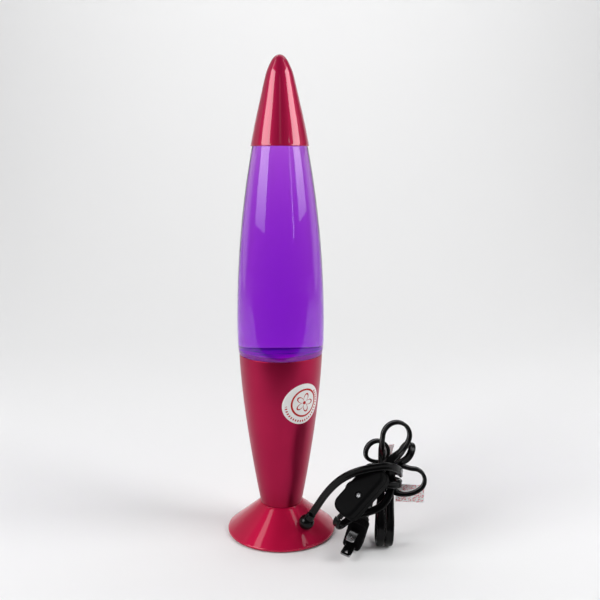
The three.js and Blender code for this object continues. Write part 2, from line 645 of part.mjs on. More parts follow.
function makeSwitch() {
  const body = extruded(roundedRectangle(SWITCH_LENGTH, SWITCH_WIDTH, SWITCH_CORNER), SWITCH_THICK, SWITCH_EDGE);
  const slotHalf = WHEEL_THICK / 2 + WHEEL_RUNNING_GAP;
  const slot = disc(WHEEL_RADIUS + WHEEL_RUNNING_GAP, -slotHalf, slotHalf, SMALL_SIDES);
  const pinHalf = PIN_LENGTH / 2 + GAP;
  const pinBore = disc(PIN_RADIUS + GAP, -pinHalf, pinHalf, FINE_SIDES);
  const faceZ = SWITCH_THICK / 2;
  const headLow = faceZ - SCREW_RECESS - SCREW_HEAD_HEIGHT;
  const headBore = disc(SCREW_HEAD_RADIUS + GAP, headLow - GAP, faceZ + OVERRUN, FINE_SIDES);
  const screwEnd = headLow - SCREW_LENGTH;
  const screwBore = disc(SCREW_RADIUS + GAP, screwEnd - GAP, faceZ, FINE_SIDES);
  for (const tool of [slot, pinBore]) tool.translate(CONTROL_STATION, WHEEL_LATERAL, 0);
  for (const tool of [headBore, screwBore]) tool.translate(CONTROL_STATION, SCREW_LATERAL, 0);
  const cutBody = cut(body, slot, pinBore, headBore, screwBore);
  const half = block(SWITCH_LENGTH + OVERRUN, SWITCH_WIDTH + OVERRUN, SWITCH_THICK);
  const shift = (SWITCH_THICK + GAP) / 2;
  add('switch_front', onSwitch(common(cutBody, half.clone().translate(0, 0, shift))), BLACK_PLASTIC);
  add('switch_rear', onSwitch(common(cutBody, half.clone().translate(0, 0, -shift))), BLACK_PLASTIC);

  const screw = turned([
    [0, screwEnd],
    [SCREW_RADIUS, screwEnd],
    [SCREW_RADIUS, headLow],
    [SCREW_HEAD_RADIUS, headLow],
    [SCREW_HEAD_RADIUS, headLow + SCREW_HEAD_HEIGHT],
    [0, headLow + SCREW_HEAD_HEIGHT],
  ], FINE_SIDES).translate(CONTROL_STATION, SCREW_LATERAL, 0);
  add('switch_screw', onSwitch(screw), STEEL);

  const wheelHalf = WHEEL_THICK / 2;
  const wheel = ring(PIN_RADIUS + GAP, WHEEL_RADIUS, -wheelHalf, wheelHalf, SMALL_SIDES);
  const pin = disc(PIN_RADIUS, -PIN_LENGTH / 2, PIN_LENGTH / 2, FINE_SIDES);
  for (const piece of [wheel, pin]) piece.translate(CONTROL_STATION, WHEEL_LATERAL, 0);
  add('switch_wheel', onSwitch(wheel), BLACK_PLASTIC);
  add('switch_wheel_pin', onSwitch(pin), STEEL);
}

// Plug: x runs from blade to blade, z the way the blades point

const plugAhead = direction(-0.352, -0.935, -0.03);
const plugSpacing = squareTo(plugAhead, direction(-0.243, 0.122, -0.962));
const plugSide = new THREE.Vector3().crossVectors(plugAhead, plugSpacing);
const plugBack = sum([PLUG_FACE, 1], [plugAhead, -PLUG_LENGTH]);

function squareTo(axis, vector) {
  return sum([vector, 1], [axis, -vector.dot(axis)]).normalize();
}

const onPlug = (geometry) => placed(geometry, PLUG_FACE, plugSpacing, plugSide, plugAhead);

function taperOutline(width, backWidth) {
  const outline = new THREE.Shape();
  outline.moveTo(-width / 2, 0);
  outline.lineTo(-width / 2, -PLUG_GRIP);
  outline.quadraticCurveTo(-backWidth / 2, -PLUG_GRIP, -backWidth / 2, -PLUG_LENGTH);
  outline.lineTo(backWidth / 2, -PLUG_LENGTH);
  outline.quadraticCurveTo(backWidth / 2, -PLUG_GRIP, width / 2, -PLUG_GRIP);
  outline.lineTo(width / 2, 0);
  return outline;
}

function makePlug() {
  const broad = extruded(taperOutline(PLUG_WIDTH, PLUG_BACK_WIDTH), PLUG_THICK, PLUG_EDGE);
  const slim = extruded(taperOutline(PLUG_THICK, PLUG_BACK_THICK), PLUG_WIDTH, PLUG_EDGE);
  broad.rotateX(Math.PI / 2);
  slim.rotateX(Math.PI / 2).rotateZ(Math.PI / 2);
  const pockets = [];
  const seats = [['plug_blade_narrow', BLADE_NARROW, -1], ['plug_blade_wide', BLADE_WIDE, 1]];
  for (const [name, width, side] of seats) {
    const x = (side * BLADE_SPACING) / 2;
    const seat = block(BLADE_THICK + 2 * GAP, width + 2 * GAP, 2 * (BLADE_SEAT + GAP));
    pockets.push(seat.translate(x, 0, 0));
    const outline = roundedRectangle(BLADE_LENGTH + BLADE_SEAT, width, BLADE_TIP_CORNER);
    const holeX = (BLADE_LENGTH + BLADE_SEAT) / 2 - BLADE_HOLE_FROM_TIP;
    outline.holes.push(new THREE.Path().absarc(holeX, 0, BLADE_HOLE_RADIUS, 0, 2 * Math.PI, true));
    const blade = extruded(outline, BLADE_THICK, 0);
    blade.rotateY(-Math.PI / 2).translate(x, 0, (BLADE_LENGTH - BLADE_SEAT) / 2);
    add(name, onPlug(blade), STEEL);
  }
  add('plug_body', onPlug(cut(common(broad, slim), ...pockets)), BLACK_PLASTIC);
}

// Cord route: the hank's own frame has its up nearly upright
// and its front toward the viewer

const hankUp = direction(0.05, 0.08, 1);
const hankRight = squareTo(hankUp, direction(1, 0, 0));
const hankFront = new THREE.Vector3().crossVectors(hankRight, hankUp);
const inHank = (right, front, up) => sum([hankRight, right], [hankFront, front], [hankUp, up]);
const atHank = (right, front, up) => sum([WAIST, 1], [hankRight, right], [hankFront, front], [hankUp, up]);

// A station is a point of the cord's centre line with the way its flat side's width lies
function bezier(start, pullStart, end, pullEnd, flatStart, flatEnd, steps) {
  const curve = new THREE.CubicBezierCurve3(start, sum([start, 1], [pullStart, 1]), sum([end, 1], [pullEnd, -1]), end);
  const route = [];
  for (let i = 0; i <= steps; i++) {
    const t = i / steps;
    const share = t * t * (3 - 2 * t);
    route.push({ point: curve.getPoint(t), flat: sum([flatStart, 1 - share], [flatEnd, share]) });
  }
  return route;
}

function leg(start, startWay, end, endWay, flatStart, flatEnd, steps, ease) {
  const pull = start.distanceTo(end) * ease;
  return bezier(start, sum([startWay, pull]), end, sum([endWay, pull]), flatStart, flatEnd, steps);
}

// The circular end of a loop, from one angle to another in the plane of across and along
function bow({ centre, radius, across, along, from, to }) {
  const turn = Math.sign(to - from);
  const normal = new THREE.Vector3().crossVectors(across, along);
  const point = (angle) => {
    const a = radians(angle);
    return sum([centre, 1], [across, radius * Math.cos(a)], [along, radius * Math.sin(a)]);
  };
  const way = (angle) => {
    const a = radians(angle);
    return sum([across, -turn * Math.sin(a)], [along, turn * Math.cos(a)]);
  };
  return { from, to, normal, point, way };
}

function loop(start, end, ends, flatStart = hankRight, flatEnd = hankRight, ease = 0.42) {
  const legSteps = HANK_STEPS / 3;
  const normal = ends.normal.dot(flatStart) >= 0 ? ends.normal : sum([ends.normal, -1]);
  const finish = normal.dot(flatEnd) >= 0 ? flatEnd : sum([flatEnd, -1]);
  const { from, to } = ends;
  const reach = start.point.distanceTo(ends.point(from));
  const out = reach < GAP
    ? [{ point: start.point, flat: normal }]
    : leg(start.point, start.way, ends.point(from), ends.way(from), flatStart, normal, legSteps, ease);
  const round = [];
  for (let i = 1; i < legSteps; i++) {
    round.push({ point: ends.point(from + ((to - from) * i) / legSteps), flat: normal });
  }
  const back = leg(ends.point(to), ends.way(to), end.point, end.way, normal, finish, legSteps, ease);
  return [...out, ...round, ...back];
}

// Where a strand enters or leaves the tied waist, leaning toward where it goes
function slot(column, row, side, toward, lean) {
  const point = atHank(column * COLUMN, row * ROW, side * PASS_HALF);
  const aim = sum([toward, 1], [point, -1]).normalize();
  return { point, way: sum([hankUp, side], [aim, lean]).normalize() };
}

const reversed = ({ point, way }) => ({ point, way: sum([way, -1]) });

// A straight run through the waist from the slot at one end to the slot at the other
function pass(enter, leave) {
  return bezier(enter.point, sum([enter.way, -PASS_PULL]), leave.point, sum([leave.way, PASS_PULL]), hankRight, hankRight, 3);
}

function straight(start, way, flat, length = STRAIGHT) {
  return [{ point: start, flat }, { point: sum([start, 1], [way, length]), flat }];
}

// The turns that bind the waist, falling from one height to another
function wrap(from, to, high, low) {
  const steps = Math.round((HANK_STEPS * Math.abs(to - from)) / FULL_TURN);
  const route = [];
  for (let i = 0; i <= steps; i++) {
    const angle = radians(from + ((to - from) * i) / steps);
    const up = high + ((low - high) * i) / steps;
    route.push({ point: atHank(WRAP_RADIUS * Math.cos(angle), WRAP_RADIUS * Math.sin(angle), up), flat: hankUp });
  }
  return route;
}

function wrapWay(angle, slope) {
  const a = radians(angle);
  return sum([hankRight, Math.sin(a)], [hankFront, -Math.cos(a)], [hankUp, slope]).normalize();
}

const joined = (...runs) => runs.flatMap((run, i) => (i === 0 ? run : run.slice(1)));

const overPoint = new THREE.Vector3(68.17, -50.5, 71.47);
const overWay = direction(0.97, 0, 0.15);
const wrapFrom = 5;
const wrapTo = -412;
const wrapHigh = 4;
const wrapLow = -4.6;

function lampSideRoute() {
  const start = straight(sum([overPoint, 1], [overWay, GAP]), overWay, hankUp);
  const wrapStart = atHank(WRAP_RADIUS * Math.cos(radians(wrapFrom)), WRAP_RADIUS * Math.sin(radians(wrapFrom)), wrapHigh);
  const overPull = 14;
  const over = bezier(start[1].point, sum([overWay, overPull]), wrapStart, sum([wrapWay(wrapFrom, -0.25), overPull]),
    hankUp, hankUp, 8);
  const turns = wrap(wrapFrom, wrapTo, wrapHigh, wrapLow);
  const wrapEnd = { point: turns[turns.length - 1].point, way: wrapWay(wrapTo, -0.9) };

  const lowBow = bow({ centre: atHank(-2.7, 4, -41.1), radius: 9.5,
    across: sum([hankFront, -1]), along: hankUp, from: -5, to: -175 });
  const firstIn = slot(-1, 1, -1, lowBow.point(-175), 0.3);
  const lowLoop = loop(wrapEnd, reversed(firstIn), lowBow, hankUp);

  const highBow = bow({ centre: atHank(4.2, 12.5, 36.5), radius: 10.5,
    across: inHank(-1, 0.2, 0).normalize(), along: hankUp, from: 5, to: 205 });
  const firstOut = slot(-1, 1, 1, highBow.point(5), 0.5);
  const nearSwitch = { point: sum([switchTop, 1], [switchLong, STRAIGHT + GAP]), way: sum([switchLong, -1]) };
  const highLoop = loop(firstOut, nearSwitch, highBow);
  const last = highLoop[highLoop.length - 1].flat;
  const end = straight(nearSwitch.point, nearSwitch.way, last);
  return joined(start, over, turns, lowLoop, pass(firstIn, firstOut), highLoop, end);
}

function plugSideRoute() {
  const away = sum([switchLong, -1]);
  const across = squareTo(switchLong, direction(0.56, 0.69, -0.36));
  const start = straight(sum([switchLow, 1], [away, GAP]), away, across, SHORT_STRAIGHT);
  const switchBow = bow({ centre: sum([start[1].point, 1], [across, 6]), radius: 6,
    across, along: switchLong, from: 180, to: 335 });
  const secondIn = { point: atHank(COLUMN, ROW, -PASS_HALF), way: inHank(-0.35, 0.7, -1).normalize() };
  const fromSwitch = loop({ point: start[1].point, way: away }, reversed(secondIn), switchBow, across, hankRight, 0.5);

  const frontBow = bow({ centre: atHank(14, 0.5, 20.5), radius: 8,
    across: inHank(0.2, 1, 0).normalize(), along: inHank(0.5, 0, 1).normalize(), from: 5, to: 180 });
  const secondOut = slot(1, 1, 1, frontBow.point(5), 0.7);
  const sixthTop = slot(1, -1, 1, frontBow.point(180), 0.7);
  const frontLoop = loop(secondOut, reversed(sixthTop), frontBow);

  const sideBow = bow({ centre: atHank(21, 0, -1), radius: 9,
    across: hankRight, along: hankUp, from: -50, to: 90 });
  const sixthLow = slot(1, -1, -1, sideBow.point(-50), 0.6);
  const fourthTop = slot(1, 0, 1, sideBow.point(90), 0.6);
  const sideLoop = loop(sixthLow, reversed(fourthTop), sideBow);

  const lowBow = bow({ centre: atHank(4.1, 4, -41.1), radius: 9.5,
    across: hankFront, along: hankUp, from: -5, to: -175 });
  const fourthLow = slot(1, 0, -1, lowBow.point(-5), 0.4);
  const thirdLow = slot(-1, 0, -1, lowBow.point(-175), 0.4);
  const lowLoop = loop(fourthLow, reversed(thirdLow), lowBow);

  const leftBow = bow({ centre: atHank(-8, -2, 19), radius: 9,
    across: inHank(-1, 0.25, 0).normalize(), along: hankUp, from: -10, to: 195 });
  const thirdTop = slot(-1, 0, 1, leftBow.point(-10), 0.5);
  const fifthTop = slot(-1, -1, 1, leftBow.point(195), 0.5);
  const leftLoop = loop(thirdTop, reversed(fifthTop), leftBow);

  const fifthLow = { point: atHank(-COLUMN, -ROW, -PASS_HALF), way: tailWay };
  return joined(start, fromSwitch, pass(secondIn, secondOut), frontLoop, pass(sixthTop, sixthLow), sideLoop,
    pass(fourthTop, fourthLow), lowLoop, pass(thirdLow, thirdTop), leftLoop, pass(fifthTop, fifthLow),
    straight(fifthLow.point, tailWay, hankRight));
}

const tailWay = inHank(-0.56, 0, -1).normalize();

// Six-sided flat cord swept along its stations

function frames(route) {
  let last = route[0].flat;
  return route.map(({ point, flat }, i) => {
    const before = route[Math.max(i - 1, 0)].point;
    const after = route[Math.min(i + 1, route.length - 1)].point;
    const ahead = sum([after, 1], [before, -1]).normalize();
    const wide = squareTo(ahead, flat);
    if (wide.dot(last) < 0) wide.negate();
    last = wide;
    return { point, ahead, wide, thin: new THREE.Vector3().crossVectors(ahead, wide) };
  });
}

function sectionOutline() {
  const edge = CORD_WIDTH / 2;
  const flank = edge * CORD_FLANK_SHARE;
  const face = CORD_THICK / 2;
  return [[edge, 0], [flank, face], [-flank, face], [-edge, 0], [-flank, -face], [flank, -face]];
}

function sweep(route) {
  const outline = sectionOutline();
  const corners = [];
  for (const { point, wide, thin } of frames(route)) {
    for (const [x, y] of outline) corners.push(...sum([point, 1], [wide, x], [thin, y]).toArray());
  }
  const sides = outline.length;
  const faces = [];
  for (let i = 0; i + 1 < route.length; i++) {
    for (let j = 0; j < sides; j++) {
      const a = i * sides + j;
      const b = i * sides + ((j + 1) % sides);
      faces.push(a, b, b + sides, a, b + sides, a + sides);
    }
  }
  const last = (route.length - 1) * sides;
  for (let j = 1; j + 1 < sides; j++) faces.push(0, j + 1, j, last, last + j, last + j + 1);
  const geometry = new THREE.BufferGeometry();
  geometry.setAttribute('position', new THREE.Float32BufferAttribute(corners, 3));
  geometry.setIndex(faces);
  return geometry;
}

// Least distance between points on the faces of two runs of one cord that lie apart along it
function leastGap(route) {
  const outline = sectionOutline();
  const between = 4;
  const points = [];
  let run = 0;
  const places = frames(route);
  for (let i = 0; i + 1 < places.length; i++) {
    for (let k = 0; k < between; k++) {
      const share = k / between;
      const mix = (key) => sum([places[i][key], 1 - share], [places[i + 1][key], share]);
      const ringPoints = outline.map(([x, y]) => sum([mix('point'), 1], [mix('wide'), x], [mix('thin'), y]));
      points.push({ run: run + share * places[i].point.distanceTo(places[i + 1].point), ringPoints });
    }
    run += places[i].point.distanceTo(places[i + 1].point);
  }
  let least = Infinity;
  for (let i = 0; i < points.length; i++) {
    for (let j = i + 1; j < points.length; j++) {
      if (points[j].run - points[i].run < 3 * CORD_WIDTH) continue;
      for (const p of points[i].ringPoints) {
        for (const q of points[j].ringPoints) least = Math.min(least, p.distanceTo(q));
      }
    }
  }
  return least;
}

function makeHank(name, route) {
  add(name, sweep(route), BLACK_CORD);
  console.log(`${name}: least gap to itself ${leastGap(route).toFixed(2)} mm`);
}

// Free stretches of the cord, through points along their route

const leadStart = sum([ballCentre, 1], [leadStartDirection, BALL_RADIUS + SLEEVE_LENGTH + 2 * GAP]);
const leadPoints = [
  leadStart,
  new THREE.Vector3(28.1, -30, 32.3),
  new THREE.Vector3(31.8, -33.2, 39.8),
  new THREE.Vector3(35.7, -36.9, 47),
  new THREE.Vector3(40.1, -40.7, 53.8),
  new THREE.Vector3(45.3, -44.5, 60.1),
  new THREE.Vector3(51.8, -47.7, 65.4),
  new THREE.Vector3(59.5, -49.8, 69.3),
  overPoint,
];
const tailPoints = [
  sum([atHank(-COLUMN, -ROW, -PASS_HALF), 1], [tailWay, STRAIGHT + GAP]),
  new THREE.Vector3(71.3, -17.1, 35.8),
  new THREE.Vector3(69.9, -11.9, 32.4),
  new THREE.Vector3(70.5, -5.4, 30.2),
  new THREE.Vector3(71.1, -1.2, 25.4),
  new THREE.Vector3(70.4, -2.1, 18.8),
  new THREE.Vector3(68.5, -7, 14.9),
  sum([plugBack, 1], [plugAhead, -GAP]),
];

// Keeps the wide side of the cord turned from one way at the start to another at the end
function flatCord(points, flatStart, flatEnd, startWay, endWay) {
  const route = new THREE.CatmullRomCurve3(points, false, 'centripetal');
  route.computeFrenetFrames = (steps) => {
    const tangents = [];
    const normals = [];
    const binormals = [];
    for (let i = 0; i <= steps; i++) {
      const share = i / steps;
      const ahead = i === 0 ? startWay : i === steps ? endWay : route.getTangentAt(share);
      const wide = squareTo(ahead, sum([flatStart, 1 - share], [flatEnd, share]));
      tangents.push(ahead);
      normals.push(wide);
      binormals.push(new THREE.Vector3().crossVectors(ahead, wide));
    }
    return { tangents, normals, binormals };
  };
  const edge = CORD_WIDTH / 2;
  const face = CORD_THICK / 2;
  const flank = edge * CORD_FLANK_SHARE;
  const section = new THREE.Shape();
  section.moveTo(edge, -face / 2);
  section.lineTo(edge, face / 2);
  section.lineTo(flank, face);
  section.lineTo(-flank, face);
  section.lineTo(-edge, face / 2);
  section.lineTo(-edge, -face / 2);
  section.lineTo(-flank, -face);
  section.lineTo(flank, -face);
  const steps = Math.round(route.getLength() / CORD_WIDTH);
  return new THREE.ExtrudeGeometry(section, { steps, extrudePath: route, bevelEnabled: false });
}

function makeCord() {
  add('cord_lead', flatCord(leadPoints, hankUp, hankUp, leadStartDirection, overWay), BLACK_CORD);
  makeHank('cord_hank_lamp_side', lampSideRoute());
  makeHank('cord_hank_plug_side', plugSideRoute());
  add('cord_tail', flatCord(tailPoints, hankRight, plugSpacing, tailWay, plugAhead), BLACK_CORD);
}

// Blank tags folded on the cord

function makeTags() {
  const sheet = (tag) => block(tag.width, TAG_THICK, tag.length);
  const fallOne = direction(-0.2, 0.1, -1);
  const acrossOne = squareTo(fallOne, direction(1, 0.5, 0));
  const throughOne = new THREE.Vector3().crossVectors(acrossOne, fallOne).negate();
  const middleOne = sum([TAG_ONE.top, 1], [fallOne, TAG_ONE.length / 2]);
  const one = placed(sheet(TAG_ONE), middleOne, acrossOne, throughOne, sum([fallOne, 1]));
  add('tag_small', one, TAG_PAPER);
  const middleTwo = sum([TAG_TWO.corner, 1], [hankRight, TAG_TWO.length / 2], [hankUp, TAG_TWO.width / 2]);
  const two = block(TAG_TWO.length, TAG_THICK, TAG_TWO.width);
  add('tag_large', placed(two, middleTwo, hankRight, sum([hankFront, -1]), hankUp), TAG_PAPER);
}

makeFoot();
makeBottom();
makeCup();
makeClamp();
makeSocket();
makeBulb();
makeGlobe();
makeContents();
makeCrown();
makeCover();
makeLabel();
makeGrommet();
makeInnerLead();
makeSwitch();
makePlug();
makeCord();
makeTags();

export default lamp;
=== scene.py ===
import json
import math

import bpy
import numpy as np
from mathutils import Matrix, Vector


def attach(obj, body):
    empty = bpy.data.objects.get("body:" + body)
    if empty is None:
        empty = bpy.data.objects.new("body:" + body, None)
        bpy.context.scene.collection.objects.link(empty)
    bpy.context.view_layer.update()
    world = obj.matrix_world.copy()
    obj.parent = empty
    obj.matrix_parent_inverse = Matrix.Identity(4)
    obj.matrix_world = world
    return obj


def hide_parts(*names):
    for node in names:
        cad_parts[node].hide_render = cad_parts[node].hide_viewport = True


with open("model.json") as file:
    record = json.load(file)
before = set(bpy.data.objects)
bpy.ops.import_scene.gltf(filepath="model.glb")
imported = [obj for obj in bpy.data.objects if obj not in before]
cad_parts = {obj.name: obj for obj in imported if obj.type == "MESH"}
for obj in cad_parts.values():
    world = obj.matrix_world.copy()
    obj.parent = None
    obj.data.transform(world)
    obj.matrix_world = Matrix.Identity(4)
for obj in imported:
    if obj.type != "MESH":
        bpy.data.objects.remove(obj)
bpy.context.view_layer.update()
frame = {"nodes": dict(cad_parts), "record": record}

# The frame is in metres; the lamp's sizes below are in millimetres
MM = 0.001

# Driving sizes of the lamp, the same as the solids'
GAP = 0.3
SHEET = 1.0
FOOT_RADIUS = 42.8
FOOT_RISE = 0.8
FOOT_LIP = 1.6
FOOT_TOP_Z = 24.2
NECK_RADIUS = 16.5
NIPPLE_HOLE = 5.15
CUP_HEIGHT = 121.3
CUP_RIM_RADIUS = 32.0
CUP_CURVE = 1.45
GLASS = 2.5
GLOBE_BOTTOM_Z = 104.0
PAD_RADIUS = 40.4
GLOBE_FLOOR = 3.5
GLOBE_CORNER = 4.0
GLOBE_SIDE_GAP = 1.2
GLOBE_MAX_RADIUS = 33.3
GLOBE_MAX_RISE = 20.7
GLOBE_SHOULDER_DROP = 0.95
GLOBE_SHOULDER_BLEND = 9.0
GLOBE_CURVE = 2.05
GLOBE_NECK_RADIUS = 11.5
GLOBE_NECK_FALL = 10.0
GLOBE_NECK_LENGTH = 4.0
GLOBE_BEAD = 1.5
GLOBE_BEAD_HEIGHT = 4.0
WAX_TOP_Z = 149.6
LIQUID_TOP_BELOW_MOUTH = 9.0
CROWN_SHEET = 0.5
CROWN_SKIRT = 5.0
CROWN_FLARE = 0.9
COVER_EDGE_Z = 302.5
COVER_EDGE_RADIUS = 21.84
COVER_TOP_Z = 368.0
COVER_NARROWING = 0.2356
COVER_WALL = 0.8
LABEL_RADIUS = 16.0
LABEL_THICK = 0.3
LABEL_Z = 111.7
LABEL_AZIMUTH = -54.5
BALL_RADIUS = 6.0
BALL_STANDOFF = 4.15
BALL_SEAT_RADIUS = 29.3
BALL_AZIMUTH = -51.4
SLEEVE_LENGTH = 2.7
SLEEVE_ROOT = 3.9
SLEEVE_TIP = 3.3

# Counts of the fine surfaces
ROUND_SIDES = 160
FINE_SIDES = 64

UP = np.array([0.0, 0.0, 1.0])


def unit(vector):
    vector = np.asarray(vector, float)
    return vector / np.linalg.norm(vector)


def square_to(axis, vector):
    vector = np.asarray(vector, float)
    return unit(vector - np.dot(vector, axis) * axis)


# Camera, at the photograph's place

CAMERA_PLACE = (0.0149, -0.59545, 0.29581)
CAMERA_TILT = math.radians(79.63)
CAMERA_LENS = 47.4
CAMERA_SENSOR = 36


def make_camera():
    camera = bpy.data.cameras.new("camera")
    camera.sensor_width = CAMERA_SENSOR
    camera.lens = CAMERA_LENS
    holder = bpy.data.objects.new("camera", camera)
    holder.location = CAMERA_PLACE
    holder.rotation_euler = (CAMERA_TILT, 0, 0)
    bpy.context.collection.objects.link(holder)
    bpy.context.scene.camera = holder


make_camera()

# Cord: flat twin cord, its hank, and the pieces that it meets

CORD_WIDTH = 6.0
CORD_THICK = 2.9
STRAIGHT = 6.0
SHORT_STRAIGHT = 3.0
WAIST = np.array([81.0, -22.0, 52.0])
PASS_HALF = 7.5
PASS_PULL = 3.0
COLUMN = 3.9
ROW = 4.1
WRAP_RADIUS = 11.2
STEPS = 26
WRAP_STEPS = 96

SWITCH_CENTRE = np.array([60.69, -47.0, 51.28])
SWITCH_LENGTH = 44.0
SWITCH_ROLL = math.radians(28)
switch_long = unit([0.67, 0.2, 0.71])
switch_facing = square_to(switch_long, unit([-0.0759, -0.9107, 0.406]))
switch_aside = np.cross(switch_facing, switch_long)
switch_normal = switch_facing * math.cos(SWITCH_ROLL) + switch_aside * math.sin(SWITCH_ROLL)
switch_lateral = np.cross(switch_normal, switch_long)
switch_top = SWITCH_CENTRE + switch_long * SWITCH_LENGTH / 2
switch_low = SWITCH_CENTRE - switch_long * SWITCH_LENGTH / 2

PLUG_FACE = np.array([55.43, -41.87, 12.88])
PLUG_LENGTH = 26.0
plug_ahead = unit([-0.352, -0.935, -0.03])
plug_spacing = square_to(plug_ahead, unit([-0.243, 0.122, -0.962]))
plug_side = np.cross(plug_ahead, plug_spacing)
plug_back = PLUG_FACE - plug_ahead * PLUG_LENGTH

foot_slope = math.atan2(FOOT_TOP_Z - FOOT_RISE - FOOT_LIP, FOOT_RADIUS - NECK_RADIUS)
ball_outward = np.array([math.cos(math.radians(BALL_AZIMUTH)), math.sin(math.radians(BALL_AZIMUTH)), 0])
ball_normal = ball_outward * math.sin(foot_slope) + UP * math.cos(foot_slope)
ball_seat_z = FOOT_TOP_Z - (BALL_SEAT_RADIUS - NECK_RADIUS) * math.tan(foot_slope)
ball_seat = ball_outward * BALL_SEAT_RADIUS + UP * ball_seat_z
ball_centre = ball_seat + ball_normal * BALL_STANDOFF
lead_way = unit([0.45, -0.25, 0.85])

hank_up = unit([0.05, 0.08, 1])
hank_right = square_to(hank_up, unit([1, 0, 0]))
hank_front = np.cross(hank_right, hank_up)


def in_hank(right, front, up):
    return hank_right * right + hank_front * front + hank_up * up


def at_hank(right, front, up):
    return WAIST + in_hank(right, front, up)


# A route is two lists: points of the centre line, and which way the cord's width lies

def bezier(start, pull_start, end, pull_end, flat_start, flat_end, steps):
    t = np.linspace(0, 1, steps + 1)[:, None]
    corners = (start, start + pull_start, end - pull_end, end)
    weights = ((1 - t) ** 3, 3 * t * (1 - t) ** 2, 3 * t * t * (1 - t), t ** 3)
    points = sum(weight * corner for weight, corner in zip(weights, corners))
    share = t * t * (3 - 2 * t)
    return points, flat_start * (1 - share) + flat_end * share


def leg(start, start_way, end, end_way, flat_start, flat_end, steps, ease):
    pull = np.linalg.norm(end - start) * ease
    return bezier(start, start_way * pull, end, end_way * pull, flat_start, flat_end, steps)


class Bow:
    """The circular end of a loop, in the plane of across and along."""

    def __init__(self, centre, radius, across, along, start, end):
        self.centre, self.radius = centre, radius
        self.across, self.along = across, along
        self.start, self.end = start, end
        self.normal = np.cross(across, along)

    def point(self, angle):
        a = math.radians(angle)
        return self.centre + self.radius * (self.across * math.cos(a) + self.along * math.sin(a))

    def way(self, angle):
        a = math.radians(angle)
        turn = 1 if self.end > self.start else -1
        return turn * (self.along * math.cos(a) - self.across * math.sin(a))


def loop(start, end, bow, flat_start=hank_right, flat_end=hank_right, ease=0.42):
    normal = bow.normal if bow.normal @ flat_start >= 0 else -bow.normal
    finish = flat_end if normal @ flat_end >= 0 else -flat_end
    first = bow.point(bow.start)
    runs = []
    if np.linalg.norm(start[0] - first) > GAP:
        runs.append(leg(start[0], start[1], first, bow.way(bow.start), flat_start, normal, STEPS, ease))
    angles = np.linspace(bow.start, bow.end, STEPS + 1)
    runs.append((np.array([bow.point(a) for a in angles]), np.tile(normal, (STEPS + 1, 1))))
    runs.append(leg(bow.point(bow.end), bow.way(bow.end), end[0], end[1], normal, finish, STEPS, ease))
    return joined(*runs)


def slot(column, row, side, toward, lean):
    point = at_hank(column * COLUMN, row * ROW, side * PASS_HALF)
    return point, unit(hank_up * side + unit(toward - point) * lean)


def back(place):
    return place[0], -place[1]


def through(enter, leave):
    return bezier(enter[0], -enter[1] * PASS_PULL, leave[0], leave[1] * PASS_PULL, hank_right, hank_right, 8)


def slotted(bow, enter, leave, lean):
    """A loop from one slot of the hank to another, each a column, a row and a side, with its two ends."""
    first = slot(*enter, bow.point(bow.start), lean)
    last = slot(*leave, bow.point(bow.end), lean)
    return first, last, loop(first, back(last), bow)


def straight(start, way, flat, length=STRAIGHT):
    share = np.linspace(0, 1, 5)[:, None]
    return start + way * length * share, np.tile(flat, (5, 1))


def wrap_way(angle, slope):
    a = math.radians(angle)
    return unit(hank_right * math.sin(a) - hank_front * math.cos(a) + hank_up * slope)


def joined(*runs):
    """Runs end to end, without doubled points, the width never flipping from one to the next."""
    points, flats = [np.asarray(runs[0][0])], [np.asarray(runs[0][1])]
    for run_points, run_flats in runs[1:]:
        turned = -1 if np.dot(run_flats[0], flats[-1][-1]) < 0 else 1
        points.append(np.asarray(run_points)[1:])
        flats.append(turned * np.asarray(run_flats)[1:])
    return np.concatenate(points), np.concatenate(flats)


def smooth_line(points, flat_start, flat_end, spacing=1.5):
    """A centripetal Catmull-Rom line through the points."""
    points = np.asarray(points, float)
    ends = np.vstack([2 * points[0] - points[1], points, 2 * points[-1] - points[-2]])
    line = []
    for a, b, c, d in zip(ends[:-3], ends[1:-2], ends[2:-1], ends[3:]):
        t1 = np.linalg.norm(b - a) ** 0.5
        t2 = t1 + np.linalg.norm(c - b) ** 0.5
        t3 = t2 + np.linalg.norm(d - c) ** 0.5
        count = max(int(np.linalg.norm(c - b) / spacing), 2)
        for t in np.linspace(t1, t2, count + 1)[:-1]:
            ab = a * (t1 - t) / t1 + b * t / t1
            bc = b * (t2 - t) / (t2 - t1) + c * (t - t1) / (t2 - t1)
            cd = c * (t3 - t) / (t3 - t2) + d * (t - t2) / (t3 - t2)
            abc = ab * (t2 - t) / t2 + bc * t / t2
            bcd = bc * (t3 - t) / (t3 - t1) + cd * (t - t1) / (t3 - t1)
            line.append(abc * (t2 - t) / (t2 - t1) + bcd * (t - t1) / (t2 - t1))
    line.append(points[-1])
    share = np.linspace(0, 1, len(line))[:, None]
    return np.array(line), flat_start * (1 - share) + flat_end * share


